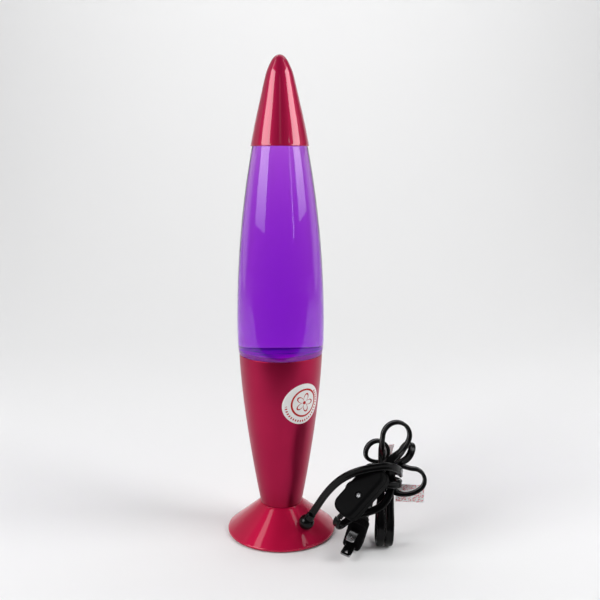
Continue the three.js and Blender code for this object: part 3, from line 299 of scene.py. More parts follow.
OVER_POINT = np.array([68.17, -50.5, 71.47])
over_way = unit([0.97, 0, 0.15])
lead_start = ball_centre + lead_way * (BALL_RADIUS + SLEEVE_LENGTH + GAP)
LEAD_POINTS = [
    lead_start,
    (28.1, -30.0, 32.3),
    (31.8, -33.2, 39.8),
    (35.7, -36.9, 47.0),
    (40.1, -40.7, 53.8),
    (45.3, -44.5, 60.1),
    (51.8, -47.7, 65.4),
    (59.5, -49.8, 69.3),
    OVER_POINT,
]
tail_way = unit(in_hank(-0.56, 0, -1))
fifth_low = at_hank(-COLUMN, -ROW, -PASS_HALF)
TAIL_POINTS = [
    fifth_low + tail_way * STRAIGHT,
    (71.3, -17.1, 35.8),
    (69.9, -11.9, 32.4),
    (70.5, -5.4, 30.2),
    (71.1, -1.2, 25.4),
    (70.4, -2.1, 18.8),
    (68.5, -7.0, 14.9),
    plug_back,
]


def lamp_side_route():
    lead = smooth_line(LEAD_POINTS, UP, hank_up)
    start = straight(OVER_POINT, over_way, hank_up)
    wrap_from, wrap_to, high, low, pull = 5, -412, 4.0, -4.6, 14.0
    angles = np.radians(np.linspace(wrap_from, wrap_to, WRAP_STEPS))
    heights = np.linspace(high, low, WRAP_STEPS)
    turns = np.array([at_hank(WRAP_RADIUS * math.cos(a), WRAP_RADIUS * math.sin(a), z)
                      for a, z in zip(angles, heights)])
    over = bezier(start[0][-1], over_way * pull, turns[0], wrap_way(wrap_from, -0.25) * pull,
                  hank_up, hank_up, 24)
    low_bow = Bow(at_hank(-2.7, 4, -41.1), 9.5, -hank_front, hank_up, -5, -175)
    first_in = slot(-1, 1, -1, low_bow.point(-175), 0.3)
    low_loop = loop((turns[-1], wrap_way(wrap_to, -0.9)), back(first_in), low_bow, hank_up)
    high_bow = Bow(at_hank(4.2, 12.5, 36.5), 10.5, unit(in_hank(-1, 0.2, 0)), hank_up, 5, 205)
    first_out = slot(-1, 1, 1, high_bow.point(5), 0.5)
    near_switch = (switch_top + switch_long * (STRAIGHT + GAP), -switch_long)
    high_loop = loop(first_out, near_switch, high_bow)
    end = straight(near_switch[0], near_switch[1], high_loop[1][-1])
    turning = turns, np.tile(hank_up, (WRAP_STEPS, 1))
    return joined(lead, start, over, turning, low_loop, through(first_in, first_out), high_loop, end)


def plug_side_route():
    across = square_to(switch_long, unit([0.56, 0.69, -0.36]))
    start = straight(switch_low - switch_long * GAP, -switch_long, across, SHORT_STRAIGHT)
    switch_bow = Bow(start[0][-1] + across * 6.0, 6.0, across, switch_long, 180, 335)
    second_in = at_hank(COLUMN, ROW, -PASS_HALF), unit(in_hank(-0.35, 0.7, -1))
    from_switch = loop((start[0][-1], -switch_long), back(second_in), switch_bow, across, hank_right, 0.5)
    second_out, sixth_top, front_loop = slotted(
        Bow(at_hank(14, 0.5, 20.5), 8.0, unit(in_hank(0.2, 1, 0)), unit(in_hank(0.5, 0, 1)), 5, 180),
        (1, 1, 1), (1, -1, 1), 0.7)
    sixth_low, fourth_top, side_loop = slotted(
        Bow(at_hank(21, 0, -1), 9.0, hank_right, hank_up, -50, 90), (1, -1, -1), (1, 0, 1), 0.6)
    fourth_low, third_low, low_loop = slotted(
        Bow(at_hank(4.1, 4, -41.1), 9.5, hank_front, hank_up, -5, -175), (1, 0, -1), (-1, 0, -1), 0.4)
    third_top, fifth_top, left_loop = slotted(
        Bow(at_hank(-8, -2, 19), 9.0, unit(in_hank(-1, 0.25, 0)), hank_up, -10, 195),
        (-1, 0, 1), (-1, -1, 1), 0.5)
    tail = smooth_line(TAIL_POINTS, hank_right, plug_spacing)
    return joined(start, from_switch, through(second_in, second_out),
                  front_loop, through(sixth_top, sixth_low),
                  side_loop, through(fourth_top, fourth_low),
                  low_loop, through(third_low, third_top),
                  left_loop, through(fifth_top, (fifth_low, tail_way)),
                  straight(fifth_low, tail_way, hank_right), tail)


def twin_section():
    """Outline of the cord: two round cores side by side with a shallow groove between them."""
    core = CORD_THICK / 2
    offset = CORD_WIDTH / 2 - core
    around, groove = 112, core * 0.8
    angles = np.radians(np.linspace(-around, around, 11))
    right = [(offset + core * math.cos(a), core * math.sin(a)) for a in angles]
    left = [(-x, -y) for x, y in right]
    return right + [(0, groove)] + left + [(0, -groove)]


def new_object(name, vertices, faces, crease=42):
    """A mesh from millimetres, shaded smooth but for the edges that turn by more than crease degrees."""
    mesh = bpy.data.meshes.new(name)
    mesh.from_pydata([tuple(v) for v in np.asarray(vertices) * MM], [], faces)
    mesh.validate()
    mesh.shade_smooth()
    mesh.set_sharp_from_angle(angle=math.radians(crease))
    piece = bpy.data.objects.new(name, mesh)
    bpy.context.collection.objects.link(piece)
    return piece


def ring_faces(rings, count, wrapped=False):
    """Quads between neighbouring rings of count points each; wrapped joins the last ring to the first."""
    faces = []
    for ring in range(rings if wrapped else rings - 1):
        low, high = ring * count, (ring + 1) % rings * count
        faces += [(low + k, low + (k + 1) % count, high + (k + 1) % count, high + k) for k in range(count)]
    return faces


def end_faces(rings, count):
    """The faces that close the first and the last of the rings."""
    return tuple(reversed(range(count))), tuple(range((rings - 1) * count, rings * count))


def sweep(name, points, flats, outline):
    ahead = np.gradient(points, axis=0)
    ahead /= np.linalg.norm(ahead, axis=1)[:, None]
    wide = flats - (flats * ahead).sum(1)[:, None] * ahead
    wide /= np.linalg.norm(wide, axis=1)[:, None]
    thin = np.cross(ahead, wide)
    x, y = np.array(outline).T
    corners = points[:, None] + wide[:, None] * x[None, :, None] + thin[:, None] * y[None, :, None]
    size = len(points), len(outline)
    return new_object(name, corners.reshape(-1, 3), [*ring_faces(*size), *end_faces(*size)])


# Fine turned shapes

def turned(name, profile, sides=ROUND_SIDES, origin=(0, 0, 0), axis=UP):
    """A surface of revolution about axis through origin, from (radius, height) pairs."""
    axis = unit(axis)
    across = square_to(axis, [1, 0, 0] if abs(axis[0]) < 0.9 else [0, 1, 0])
    along = np.cross(axis, across)
    angles = np.linspace(0, 2 * math.pi, sides, endpoint=False)
    round_ways = np.cos(angles)[:, None] * across + np.sin(angles)[:, None] * along
    vertices, faces, rows = [], [], []
    for radius, height in profile:
        middle = np.asarray(origin, float) + axis * height
        if radius < 1e-6:
            rows.append([len(vertices)])
            vertices.append(middle)
        else:
            rows.append(list(range(len(vertices), len(vertices) + sides)))
            vertices.extend(middle + round_ways * radius)
    for low, high in zip(rows[:-1], rows[1:]):
        for i in range(sides):
            j = (i + 1) % sides
            if len(low) == 1 and len(high) == 1:
                continue
            if len(low) == 1:
                faces.append((low[0], high[j], high[i]))
            elif len(high) == 1:
                faces.append((low[i], low[j], high[0]))
            else:
                faces.append((low[i], low[j], high[j], high[i]))
    return new_object(name, vertices, faces)


def closed(profile):
    return [*profile, profile[0]]


def arc(centre_r, centre_z, radius, start, end, steps=12):
    angles = np.radians(np.linspace(start, end, steps + 1))
    return [(max(centre_r + radius * math.cos(a), 0), centre_z + radius * math.sin(a)) for a in angles]


def stations(low, high, count, width):
    return [(width(z), z) for z in np.linspace(low, high, count + 1)]


def polar(vertex):
    """A vertex's distance from the lamp's axis, in millimetres, and its angle round it."""
    return math.hypot(vertex.co.x, vertex.co.y) / MM, math.atan2(vertex.co.y, vertex.co.x)


def draw_in(vertex, depth, radius):
    """Moves a vertex at the radius toward the lamp's axis by the depth."""
    vertex.co.x *= 1 - depth / radius
    vertex.co.y *= 1 - depth / radius


def add_map(piece, name, spots):
    """A map of the piece's surface, with one spot for each of its points."""
    new_map = piece.data.uv_layers.new(name=name)
    for corner in piece.data.loops:
        new_map.data[corner.index].uv = spots[corner.vertex_index]


cup_floor = FOOT_TOP_Z + GAP
cup_rim_z = cup_floor + CUP_HEIGHT
shoulder_z = cup_rim_z + GAP
globe_max_z = shoulder_z + GLOBE_MAX_RISE
cover_inner = COVER_WALL * math.hypot(1, COVER_NARROWING)
globe_edge_radius = COVER_EDGE_RADIUS - cover_inner - GAP
neck_low = COVER_EDGE_Z + GLOBE_NECK_FALL
bead_low = neck_low + GLOBE_NECK_LENGTH
mouth_z = bead_low + GLOBE_BEAD_HEIGHT
floor_z = GLOBE_BOTTOM_Z + GLOBE_FLOOR


def cup_radius(z):
    left = max(1 - (z - cup_floor) / CUP_HEIGHT, 0)
    return NECK_RADIUS + (CUP_RIM_RADIUS - NECK_RADIUS) * (1 - left ** CUP_CURVE)


def below_rim(z):
    return cup_radius(z) - SHEET - GLOBE_SIDE_GAP


def above_rim(z):
    if z < globe_max_z:
        return GLOBE_MAX_RADIUS - GLOBE_SHOULDER_DROP * ((globe_max_z - z) / GLOBE_MAX_RISE) ** 3
    share = (z - globe_max_z) / (COVER_EDGE_Z - globe_max_z)
    return GLOBE_MAX_RADIUS - (GLOBE_MAX_RADIUS - globe_edge_radius) * share ** GLOBE_CURVE


def under_cover(z):
    share = min((z - COVER_EDGE_Z) / GLOBE_NECK_FALL, 1)
    return globe_edge_radius - (globe_edge_radius - GLOBE_NECK_RADIUS) * (1 - math.cos(math.pi * share)) / 2


def inner_radius(z):
    blend_top = shoulder_z + GLOBE_SHOULDER_BLEND
    if z > COVER_EDGE_Z:
        return under_cover(z) - GLASS
    if z >= blend_top:
        return above_rim(z) - GLASS
    if z <= shoulder_z:
        return below_rim(z) - GLASS
    share = (z - shoulder_z) / GLOBE_SHOULDER_BLEND
    low = below_rim(shoulder_z - GAP)
    return low + (above_rim(blend_top) - low) * share - GLASS


def make_foot():
    lip_top = FOOT_RISE + FOOT_LIP
    inside = SHEET / math.cos(foot_slope)
    rounded, lip_corner = 0.5, 1
    profile = [
        (NIPPLE_HOLE, FOOT_TOP_Z - SHEET),
        (NECK_RADIUS - SHEET, FOOT_TOP_Z - SHEET),
        (FOOT_RADIUS - SHEET, lip_top - inside + SHEET * math.tan(foot_slope)),
        (FOOT_RADIUS - SHEET, FOOT_RISE),
        *arc(FOOT_RADIUS - rounded, FOOT_RISE + rounded, rounded, -90, 0, 5),
        *arc(FOOT_RADIUS - lip_corner, lip_top - 0.45, lip_corner, 0, 90 - math.degrees(foot_slope), 6),
        *[(FOOT_RADIUS + (NECK_RADIUS - FOOT_RADIUS) * s, lip_top + (FOOT_TOP_Z - lip_top) * s)
          for s in np.linspace(0.03, 0.99, 20)],
        (NECK_RADIUS - 0.4, FOOT_TOP_Z),
        (NIPPLE_HOLE, FOOT_TOP_Z),
    ]
    return turned("foot_shell", closed(profile))


def make_cup():
    outer = stations(cup_floor, cup_rim_z - SHEET / 2, 60, cup_radius)
    rim = arc(CUP_RIM_RADIUS - SHEET / 2, cup_rim_z - SHEET / 2, SHEET / 2, 0, 180, 8)
    inner = stations(cup_floor + SHEET, cup_rim_z - SHEET / 2, 30, lambda z: cup_radius(z) - SHEET)[::-1]
    profile = [(NIPPLE_HOLE, cup_floor), *outer, *rim, *inner, (NIPPLE_HOLE, cup_floor + SHEET)]
    return turned("cup_shell", closed(profile))


def make_globe():
    """The glass is one closed surface: with the liquid against it, its inner wall doesn't show."""
    corner_z = GLOBE_BOTTOM_Z + GLOBE_CORNER
    corner_radius = below_rim(corner_z)
    low = below_rim(shoulder_z - GAP)
    chamfer = 0.4
    outer = [
        (0, GLOBE_BOTTOM_Z),
        *arc(corner_radius - GLOBE_CORNER, corner_z, GLOBE_CORNER, -90, 0, 8),
        *stations(corner_z, shoulder_z - GAP, 16, below_rim)[1:],
        (low, shoulder_z),
        *stations(shoulder_z, globe_max_z, 16, above_rim),
        *stations(globe_max_z, COVER_EDGE_Z, 60, above_rim)[1:],
        *stations(COVER_EDGE_Z, neck_low, 14, under_cover)[1:],
        (GLOBE_NECK_RADIUS, bead_low),
        *arc(GLOBE_NECK_RADIUS, bead_low + GLOBE_BEAD, GLOBE_BEAD, -60, 0, 4),
        (GLOBE_NECK_RADIUS + GLOBE_BEAD, mouth_z - chamfer),
        (GLOBE_NECK_RADIUS + GLOBE_BEAD - chamfer, mouth_z),
        (0, mouth_z),
    ]
    return turned("globe_glass", outer)


CONTENTS_GAP = 0.1
WAX_LEVEL_Z = WAX_TOP_Z - 1.3


def contents_radius(z):
    return inner_radius(z) - CONTENTS_GAP


def wax_wave(angle):
    """How far the wax's top edge stands over its level, a slow wave round the bottle."""
    return 0.5 * math.sin(angle + 2.6) + 0.4 * math.sin(2 * angle + 1.9) + 0.2 * math.sin(5 * angle)


def make_wax():
    low = [(0, floor_z + GAP), (contents_radius(floor_z + GLASS) - GLASS, floor_z + GAP)]
    side = stations(floor_z + GLASS, WAX_TOP_Z - 3.5, 26, contents_radius)
    edge = contents_radius(WAX_LEVEL_Z)
    top = [(edge * s, WAX_LEVEL_Z) for s in (1, 0.985, 0.95, 0.85, 0.7, 0.5, 0.25, 0)]
    wax = turned("wax_body", [*low, *side, *top])
    for vertex in wax.data.vertices:
        if vertex.co.z > (WAX_LEVEL_Z - 0.1) * MM:
            radius, angle = polar(vertex)
            share = radius / edge
            dish = 0.45 * (1 - share ** 2)
            vertex.co.z += (wax_wave(angle) * min(share * 1.3, 1) - dish) * MM
    return wax


def make_liquid():
    low = WAX_TOP_Z - 2.6
    profile = [
        (0, low),
        (contents_radius(low) - 0.4, low),
        *stations(low, shoulder_z + GLOBE_SHOULDER_BLEND, 4, contents_radius),
        *stations(shoulder_z + GLOBE_SHOULDER_BLEND, COVER_EDGE_Z, 60, contents_radius)[1:],
        *stations(COVER_EDGE_Z, mouth_z - LIQUID_TOP_BELOW_MOUTH, 8, contents_radius)[1:],
        (0, mouth_z - LIQUID_TOP_BELOW_MOUTH),
    ]
    return turned("liquid_body", profile)


def make_cover():
    """A pointed shell whose sides bulge a little; each control point is a radius and a height."""
    outer = smooth_profile([
        (21.7, COVER_EDGE_Z + 0.6), (20.14, 311), (18.3, 320), (15.02, 334), (11.58, 348.6), (9.63, 355.8),
        (7.4, 361), (5.4, 364.5), (3.3, 366.8), (1.5, COVER_TOP_Z - 0.25), (0, COVER_TOP_Z),
    ], 60)
    inner = []
    for before, point, after in zip(outer, outer[1:], outer[2:]):
        slope = Vector((after[0] - before[0], after[1] - before[1])).normalized()
        inner.append((max(point[0] - slope.y * COVER_WALL, 0.05), point[1] + slope.x * COVER_WALL))
    inner.append((0, COVER_TOP_Z - COVER_WALL))
    middle = cover_inner / 2
    edge = arc(COVER_EDGE_RADIUS - middle, COVER_EDGE_Z + middle, middle, -180, 0, 8)
    return turned("cover_shell", [*inner[::-1], *edge, *outer])


# Pad, cap and bulb

def make_pad():
    rounded = 0.35
    edge = arc(PAD_RADIUS - rounded, rounded, rounded, -90, 90, 8)
    return turned("felt_disc", [(0, 0), *edge, (0, 2 * rounded + GAP)])


def make_crown():
    lip = GLOBE_NECK_RADIUS + GLOBE_BEAD + GAP
    low = mouth_z - CROWN_SKIRT + GLOBE_BEAD
    under = mouth_z + 0.1
    top = mouth_z + GAP + CROWN_SHEET
    crimps, depth, rounding = 21, 0.45, 1.2
    outer = [(lip + CROWN_FLARE + CROWN_SHEET - 0.05, low)]
    outer += [(lip + CROWN_FLARE * (1 - s) + CROWN_SHEET, low + (top - rounding - low) * s)
              for s in np.linspace(0.15, 1, 7)]
    outer += arc(lip + CROWN_SHEET - rounding, top - rounding, rounding, 0, 90, 6)
    inner = [(lip - 0.6, under), (lip, under - 0.6), (lip + CROWN_FLARE, low)]
    cap = turned("crown_shell", [(0, under), *inner, *outer, (0, top)], crimps * 8)
    for vertex in cap.data.vertices:
        radius, angle = polar(vertex)
        if radius > lip - 0.1:
            share = min(max((top - vertex.co.z / MM) / (top - low), 0), 1)
            draw_in(vertex, depth * share * (1 - math.cos(crimps * angle)) / 2, radius)
    return cap


BULB_GLASS_LOW_Z = 57.7
BULB_GLASS_HEIGHT = 38.3
BULB_RADIUS = 19.5
BULB_NECK_RADIUS = 8.4
BULB_SHELL_LOW_Z = 42.4
BULB_SHELL_HEIGHT = 15.0
BULB_SHELL_RADIUS = 8.3
THREAD_PITCH = 1.8
THREAD_DEPTH = 0.55


def smooth_profile(points, count):
    """A finer profile through (radius, height) points."""
    points = np.array(points, float)
    flat = np.zeros((len(points), 3))
    flat[:, 0], flat[:, 2] = points[:, 0], points[:, 1]
    line, _ = smooth_line(flat, UP, UP, spacing=np.linalg.norm(np.diff(flat, axis=0), axis=1).sum() / count)
    return [(max(r, 0), z) for r, _, z in line]


def make_bulb():
    swell = BULB_RADIUS - BULB_NECK_RADIUS
    flare_shares = [(0, 0), (0.04, 0.16), (0.22, 0.3), (0.6, 0.44), (0.9, 0.54), (1, 0.64)]
    dome_shares = [(0.97, 0.74), (0.86, 0.85), (0.62, 0.94), (0.32, 0.99), (0, 1)]
    line = [(BULB_NECK_RADIUS + swell * r, BULB_GLASS_LOW_Z + BULB_GLASS_HEIGHT * z) for r, z in flare_shares]
    line += [(BULB_RADIUS * r, BULB_GLASS_LOW_Z + BULB_GLASS_HEIGHT * z) for r, z in dome_shares]
    top = BULB_GLASS_LOW_Z + BULB_GLASS_HEIGHT
    return turned("bulb_envelope", [(0, BULB_GLASS_LOW_Z), *smooth_profile(line, 60)[:-1], (0, top)], 96)


def make_bulb_shell():
    high = BULB_SHELL_LOW_Z + BULB_SHELL_HEIGHT
    side = [(BULB_SHELL_RADIUS, z) for z in np.linspace(BULB_SHELL_LOW_Z, high, 91)]
    shell = turned("bulb_thread", [(0, BULB_SHELL_LOW_Z), *side, (0, high)], 72)
    for vertex in shell.data.vertices:
        radius, angle = polar(vertex)
        height = vertex.co.z / MM - BULB_SHELL_LOW_Z
        if radius > BULB_SHELL_RADIUS - 0.1 and height <= BULB_SHELL_HEIGHT - 2.5:
            wave = (1 - math.cos(2 * math.pi * height / THREAD_PITCH - angle)) / 2
            draw_in(vertex, THREAD_DEPTH * wave, radius)
    return shell


# Round label on the cup, with a map of its disc for the printed rings

def make_label():
    a = math.radians(LABEL_AZIMUTH)
    outward = np.array([math.cos(a), math.sin(a), 0])
    aside = np.array([-math.sin(a), math.cos(a), 0])
    rings, sides = 20, 96
    seat = 0.06
    vertices, faces, spots = [], [], []

    def at(share, angle, height):
        s = LABEL_RADIUS * share * math.cos(angle)
        z = LABEL_Z + LABEL_RADIUS * share * math.sin(angle)
        radius = cup_radius(z) + height
        spots.append((0.5 + share * math.cos(angle) / 2, 0.5 + share * math.sin(angle) / 2))
        return aside * s + outward * math.sqrt(radius ** 2 - s ** 2) + UP * z

    vertices.append(at(0, 0, seat + LABEL_THICK))
    for ring in range(1, rings + 1):
        lift = LABEL_THICK if ring < rings else LABEL_THICK * 0.7
        vertices += [at(ring / rings, 2 * math.pi * k / sides, seat + lift) for k in range(sides)]
    vertices += [at(1, 2 * math.pi * k / sides, 0.01) for k in range(sides)]
    for k in range(sides):
        faces.append((0, 1 + k, 1 + (k + 1) % sides))
        for ring in range(rings):
            low, high = 1 + ring * sides, 1 + (ring + 1) * sides
            faces.append((low + k, high + k, high + (k + 1) % sides, low + (k + 1) % sides))
    label = new_object("label_disc", vertices, faces, 70)
    add_map(label, "disc", spots)
    return label


# Grommet and sleeve

def make_grommet():
    flat = math.degrees(math.asin((BALL_STANDOFF - GAP) / BALL_RADIUS))
    ball = arc(0, BALL_STANDOFF, BALL_RADIUS, -flat, 90, 28)
    ball[-1] = (0, ball[-1][1])
    shank_radius, shank_low = 4.0, -4.2
    shank = [(0, shank_low), (shank_radius, shank_low), (shank_radius, GAP / 2)]
    return turned("grommet_ball", [*shank, *ball], FINE_SIDES, ball_seat, ball_normal)


def make_sleeve():
    seat = BALL_RADIUS + 0.05
    root = math.degrees(math.asin(SLEEVE_ROOT / seat))
    bowl = arc(0, 0, seat, 90, 90 - root, 6)
    bowl[0] = (0, bowl[0][1])
    tip = BALL_RADIUS + SLEEVE_LENGTH + GAP
    side = [(SLEEVE_ROOT + (SLEEVE_TIP - SLEEVE_ROOT) * s, bowl[-1][1] + (tip - 0.5 - bowl[-1][1]) * s)
            for s in np.linspace(0.1, 1, 6)]
    end = arc(SLEEVE_TIP - 0.5, tip - 0.5, 0.5, 0, 90, 5)
    return turned("grommet_sleeve", [*bowl, *side, *end, (0, tip)], FINE_SIDES, ball_centre, lead_way)


# Shapes lofted from rounded rectangles

def rounded_rectangle(length, width, corner, per_corner=10):
    """Points round a rectangle with rounded corners, the same count for any size."""
    corner = min(corner, length / 2 - 0.01, width / 2 - 0.01)
    points = []
    for quarter, (sx, sy) in enumerate([(1, 1), (-1, 1), (-1, -1), (1, -1)]):
        for k in range(per_corner + 1):
            a = math.radians(90 * quarter + 90 * k / per_corner)
            points.append((sx * (length / 2 - corner) + corner * math.cos(a),
                           sy * (width / 2 - corner) + corner * math.sin(a)))
    return points


def loft(name, layers, origin, x_axis, y_axis, z_axis, crease=42):
    """A closed shape through outlines of one count, each (points, height), from the lowest to the highest."""
    vertices = [np.asarray(origin) + x_axis * x + y_axis * y + z_axis * z
                for points, z in layers for x, y in points]
    size = len(layers), len(layers[0][0])
    first, last = end_faces(*size)
    return new_object(name, vertices, [first, *ring_faces(*size), last], crease)


def cut_away(piece, *tools):
    """Cuts the tools out of the piece, and deletes them."""
    for tool in tools:
        cutter = piece.modifiers.new("cut", "BOOLEAN")
        cutter.operation = "DIFFERENCE"
        cutter.object = tool
        cutter.solver = "EXACT"
    bpy.context.view_layer.update()
    shaped = bpy.data.meshes.new_from_object(piece.evaluated_get(bpy.context.evaluated_depsgraph_get()))
    shaped.shade_smooth()
    shaped.set_sharp_from_angle(angle=math.radians(42))
    piece.modifiers.clear()
    piece.data = shaped
    for tool in tools:
        bpy.data.objects.remove(tool)


SWITCH_WIDTH = 19.0
SWITCH_THICK = 15.0
SWITCH_CORNER = 7.0
SWITCH_ROUNDING = 2.4
CONTROL_STATION = -3.0
WHEEL_RADIUS = 6.2
WHEEL_THICK = 4.0
WHEEL_LATERAL = 7.0
WHEEL_GAP = 0.5
SCREW_LATERAL = -3.2
SCREW_HEAD_RADIUS = 2.1
SCREW_HEAD_HEIGHT = 1.2
SCREW_RECESS = 0.5


def on_switch(station, lateral, height=0.0):
    return SWITCH_CENTRE + switch_long * station + switch_lateral * lateral + switch_normal * height


def switch_half(name, side):
    """One half of the switch's case: flat at the seam, rounded at its face and drawn in along its grip."""
    half, seam = SWITCH_THICK / 2, 0.35
    steps = [(0.0, seam), (seam, 0.0), (half - SWITCH_ROUNDING, 0.0)]
    steps += [(half - SWITCH_ROUNDING * (1 - math.sin(a)), SWITCH_ROUNDING * (1 - math.cos(a)))
              for a in np.radians(np.linspace(12, 90, 8))]
    layers = []
    for height, inset in steps:
        layers.append((rounded_rectangle(SWITCH_LENGTH - 2 * inset, SWITCH_WIDTH - 2 * inset,
                                         SWITCH_CORNER - inset * 0.6), max(height, GAP / 2)))
    shell = loft(name, layers, SWITCH_CENTRE, switch_long, switch_lateral * side, switch_normal * side)
    deep, open_half = WHEEL_RADIUS + WHEEL_GAP, WHEEL_THICK / 2 + WHEEL_GAP
    opening = [(0, -open_half), (deep, -open_half), (deep, open_half), (0, open_half)]
    tools = [turned("tool_slot", opening, 72, on_switch(CONTROL_STATION, WHEEL_LATERAL), switch_normal)]
    if side > 0:
        low = half - SCREW_RECESS - SCREW_HEAD_HEIGHT - GAP
        radius, chamfer = SCREW_HEAD_RADIUS + GAP, 0.6
        bore = [(0, low), (radius, low), (radius, half - 0.25), (radius + chamfer, half + 0.35),
                (radius + chamfer, half + 2), (0, half + 2)]
        tools.append(turned("tool_bore", bore, 48, on_switch(CONTROL_STATION, SCREW_LATERAL), switch_normal))
    cut_away(shell, *tools)
    return shell


def make_screw():
    top = SWITCH_THICK / 2 - SCREW_RECESS
    low = top - SCREW_HEAD_HEIGHT
    crown = 0.45
    middle = on_switch(CONTROL_STATION, SCREW_LATERAL)
    head = [(0, low), (SCREW_HEAD_RADIUS, low), (SCREW_HEAD_RADIUS, top - crown)]
    head += [(SCREW_HEAD_RADIUS * math.cos(a), top - crown + crown * math.sin(a))
             for a in np.radians((20, 40, 60, 75))]
    screw = turned("screw_head", [*head, (0, top)], 48, middle, switch_normal)
    cross = [(rounded_rectangle(2.6, 0.5, 0.1, 2), top - 0.6), (rounded_rectangle(2.9, 0.6, 0.1, 2), top + 1)]
    tools = []
    for a in np.radians((20, 110)):
        along = switch_long * math.cos(a) + switch_lateral * math.sin(a)
        tools.append(loft("tool_cross", cross, middle, along, np.cross(switch_normal, along), switch_normal))
    cut_away(screw, *tools)
    return screw


def make_wheel():
    """The thumb wheel, with ridges round its edge and a bore for its pin."""
    ridges, per_ridge = 26, 6
    count = ridges * per_ridge
    bore, half = 1.5, WHEEL_THICK / 2
    origin = on_switch(CONTROL_STATION, WHEEL_LATERAL)

    def ring(outer, depth, height):
        for k in range(count):
            a = 2 * math.pi * k / count
            radius = outer - depth * (1 - math.cos(ridges * a)) / 2
            across = switch_long * math.cos(a) + switch_lateral * math.sin(a)
            yield origin + across * radius + switch_normal * height

    upper = [(WHEEL_RADIUS, 0.45, half - 0.5), (WHEEL_RADIUS - 0.35, 0.2, half - 0.15),
             (WHEEL_RADIUS - 0.9, 0, half), (bore, 0, half)]
    rows = [(outer, depth, -height) for outer, depth, height in reversed(upper)] + upper
    vertices = [point for row in rows for point in ring(*row)]
    return new_object("wheel_ridged", vertices, ring_faces(len(rows), count, True), 50)


PLUG_WIDTH = 22.0
PLUG_THICK = 14.0
PLUG_BACK_WIDTH = 10.0
PLUG_BACK_THICK = 8.0
PLUG_GRIP = 11.0
BLADE_SPACING = 12.7
BLADE_LENGTH = 17.0
BLADE_SEAT = 5.0
BLADE_THICK = 1.5
BLADE_HOLE_RADIUS = 1.6
BLADE_HOLE_FROM_TIP = 4.0
BLADE_TIP_CORNER = 1.6


def taper(t, front, back_size):
    """A size of the plug's body at a share t of the way back from its grip to its end."""
    return back_size + (front - back_size) * (1 - t) ** 2


def make_plug():
    layers = []
    for s in np.linspace(1, 0, 22):
        depth = PLUG_GRIP + (PLUG_LENGTH - PLUG_GRIP) * (1 - (1 - s) ** 1.6)
        share = math.sqrt((depth - PLUG_GRIP) / (PLUG_LENGTH - PLUG_GRIP))
        width = taper(share, PLUG_WIDTH, PLUG_BACK_WIDTH)
        thick = taper(share, PLUG_THICK, PLUG_BACK_THICK)
        layers.append((rounded_rectangle(width, thick, min(thick * 0.3, 3)), -depth))
    first, height = layers[0]
    blunt = [(x * 0.86, y * 0.84) for x, y in first]
    layers.insert(0, (blunt, height))
    layers[1] = (first, height + 0.6)
    ribs, first_rib, pitch = 4, 1.2, 1.9
    for k in range(ribs):
        low = -PLUG_GRIP + first_rib + k * pitch
        for rise, inset in ((0, 0.0), (0.35, 0.45), (0.75, 0.45), (1.1, 0.0)):
            outline = rounded_rectangle(PLUG_WIDTH - 2 * inset, PLUG_THICK - 2 * inset, 3)
            layers.append((outline, low + rise))
    for rise, inset in ((-1.2, 0.0), (-0.55, 0.18), (-0.18, 0.6), (0.0, 1.2)):
        outline = rounded_rectangle(PLUG_WIDTH - 2 * inset, PLUG_THICK - 2 * inset, 3 - inset * 0.5)
        layers.append((outline, rise))
    return loft("plug_moulding", layers, PLUG_FACE, plug_spacing, plug_side, plug_ahead, 50)


def make_blade(name, width, side):
    """A flat blade with rounded tip corners and a hole near its tip."""
    length = BLADE_LENGTH + BLADE_SEAT
    half_long, half_wide = length / 2, width / 2
    outline = rounded_rectangle(length, width, BLADE_TIP_CORNER, 8)
    hole_at = half_long - BLADE_HOLE_FROM_TIP
    hole = []
    for x, y in outline:
        a = math.atan2(y, x - hole_at)
        hole.append((hole_at + BLADE_HOLE_RADIUS * math.cos(a), BLADE_HOLE_RADIUS * math.sin(a)))
    edge = 0.18
    shrink = [(x * (1 - edge / half_long), y * (1 - edge / half_wide)) for x, y in outline]
    widen = [(hole_at + (x - hole_at) * 1.1, y * 1.1) for x, y in hole]
    half = BLADE_THICK / 2
    rows = [(outline, edge - half), (outline, half - edge), (shrink, half), (widen, half),
            (hole, half - edge), (hole, edge - half), (widen, -half), (shrink, -half)]
    middle = PLUG_FACE + plug_spacing * (side * BLADE_SPACING / 2)
    middle = middle + plug_ahead * ((BLADE_LENGTH - BLADE_SEAT) / 2)
    vertices = [middle + plug_ahead * x + plug_side * y + plug_spacing * z
                for points, z in rows for x, y in points]
    return new_object(name, vertices, ring_faces(len(rows), len(outline), True), 30)


# Paper tags, slightly curled

TAG_THICK = 0.5


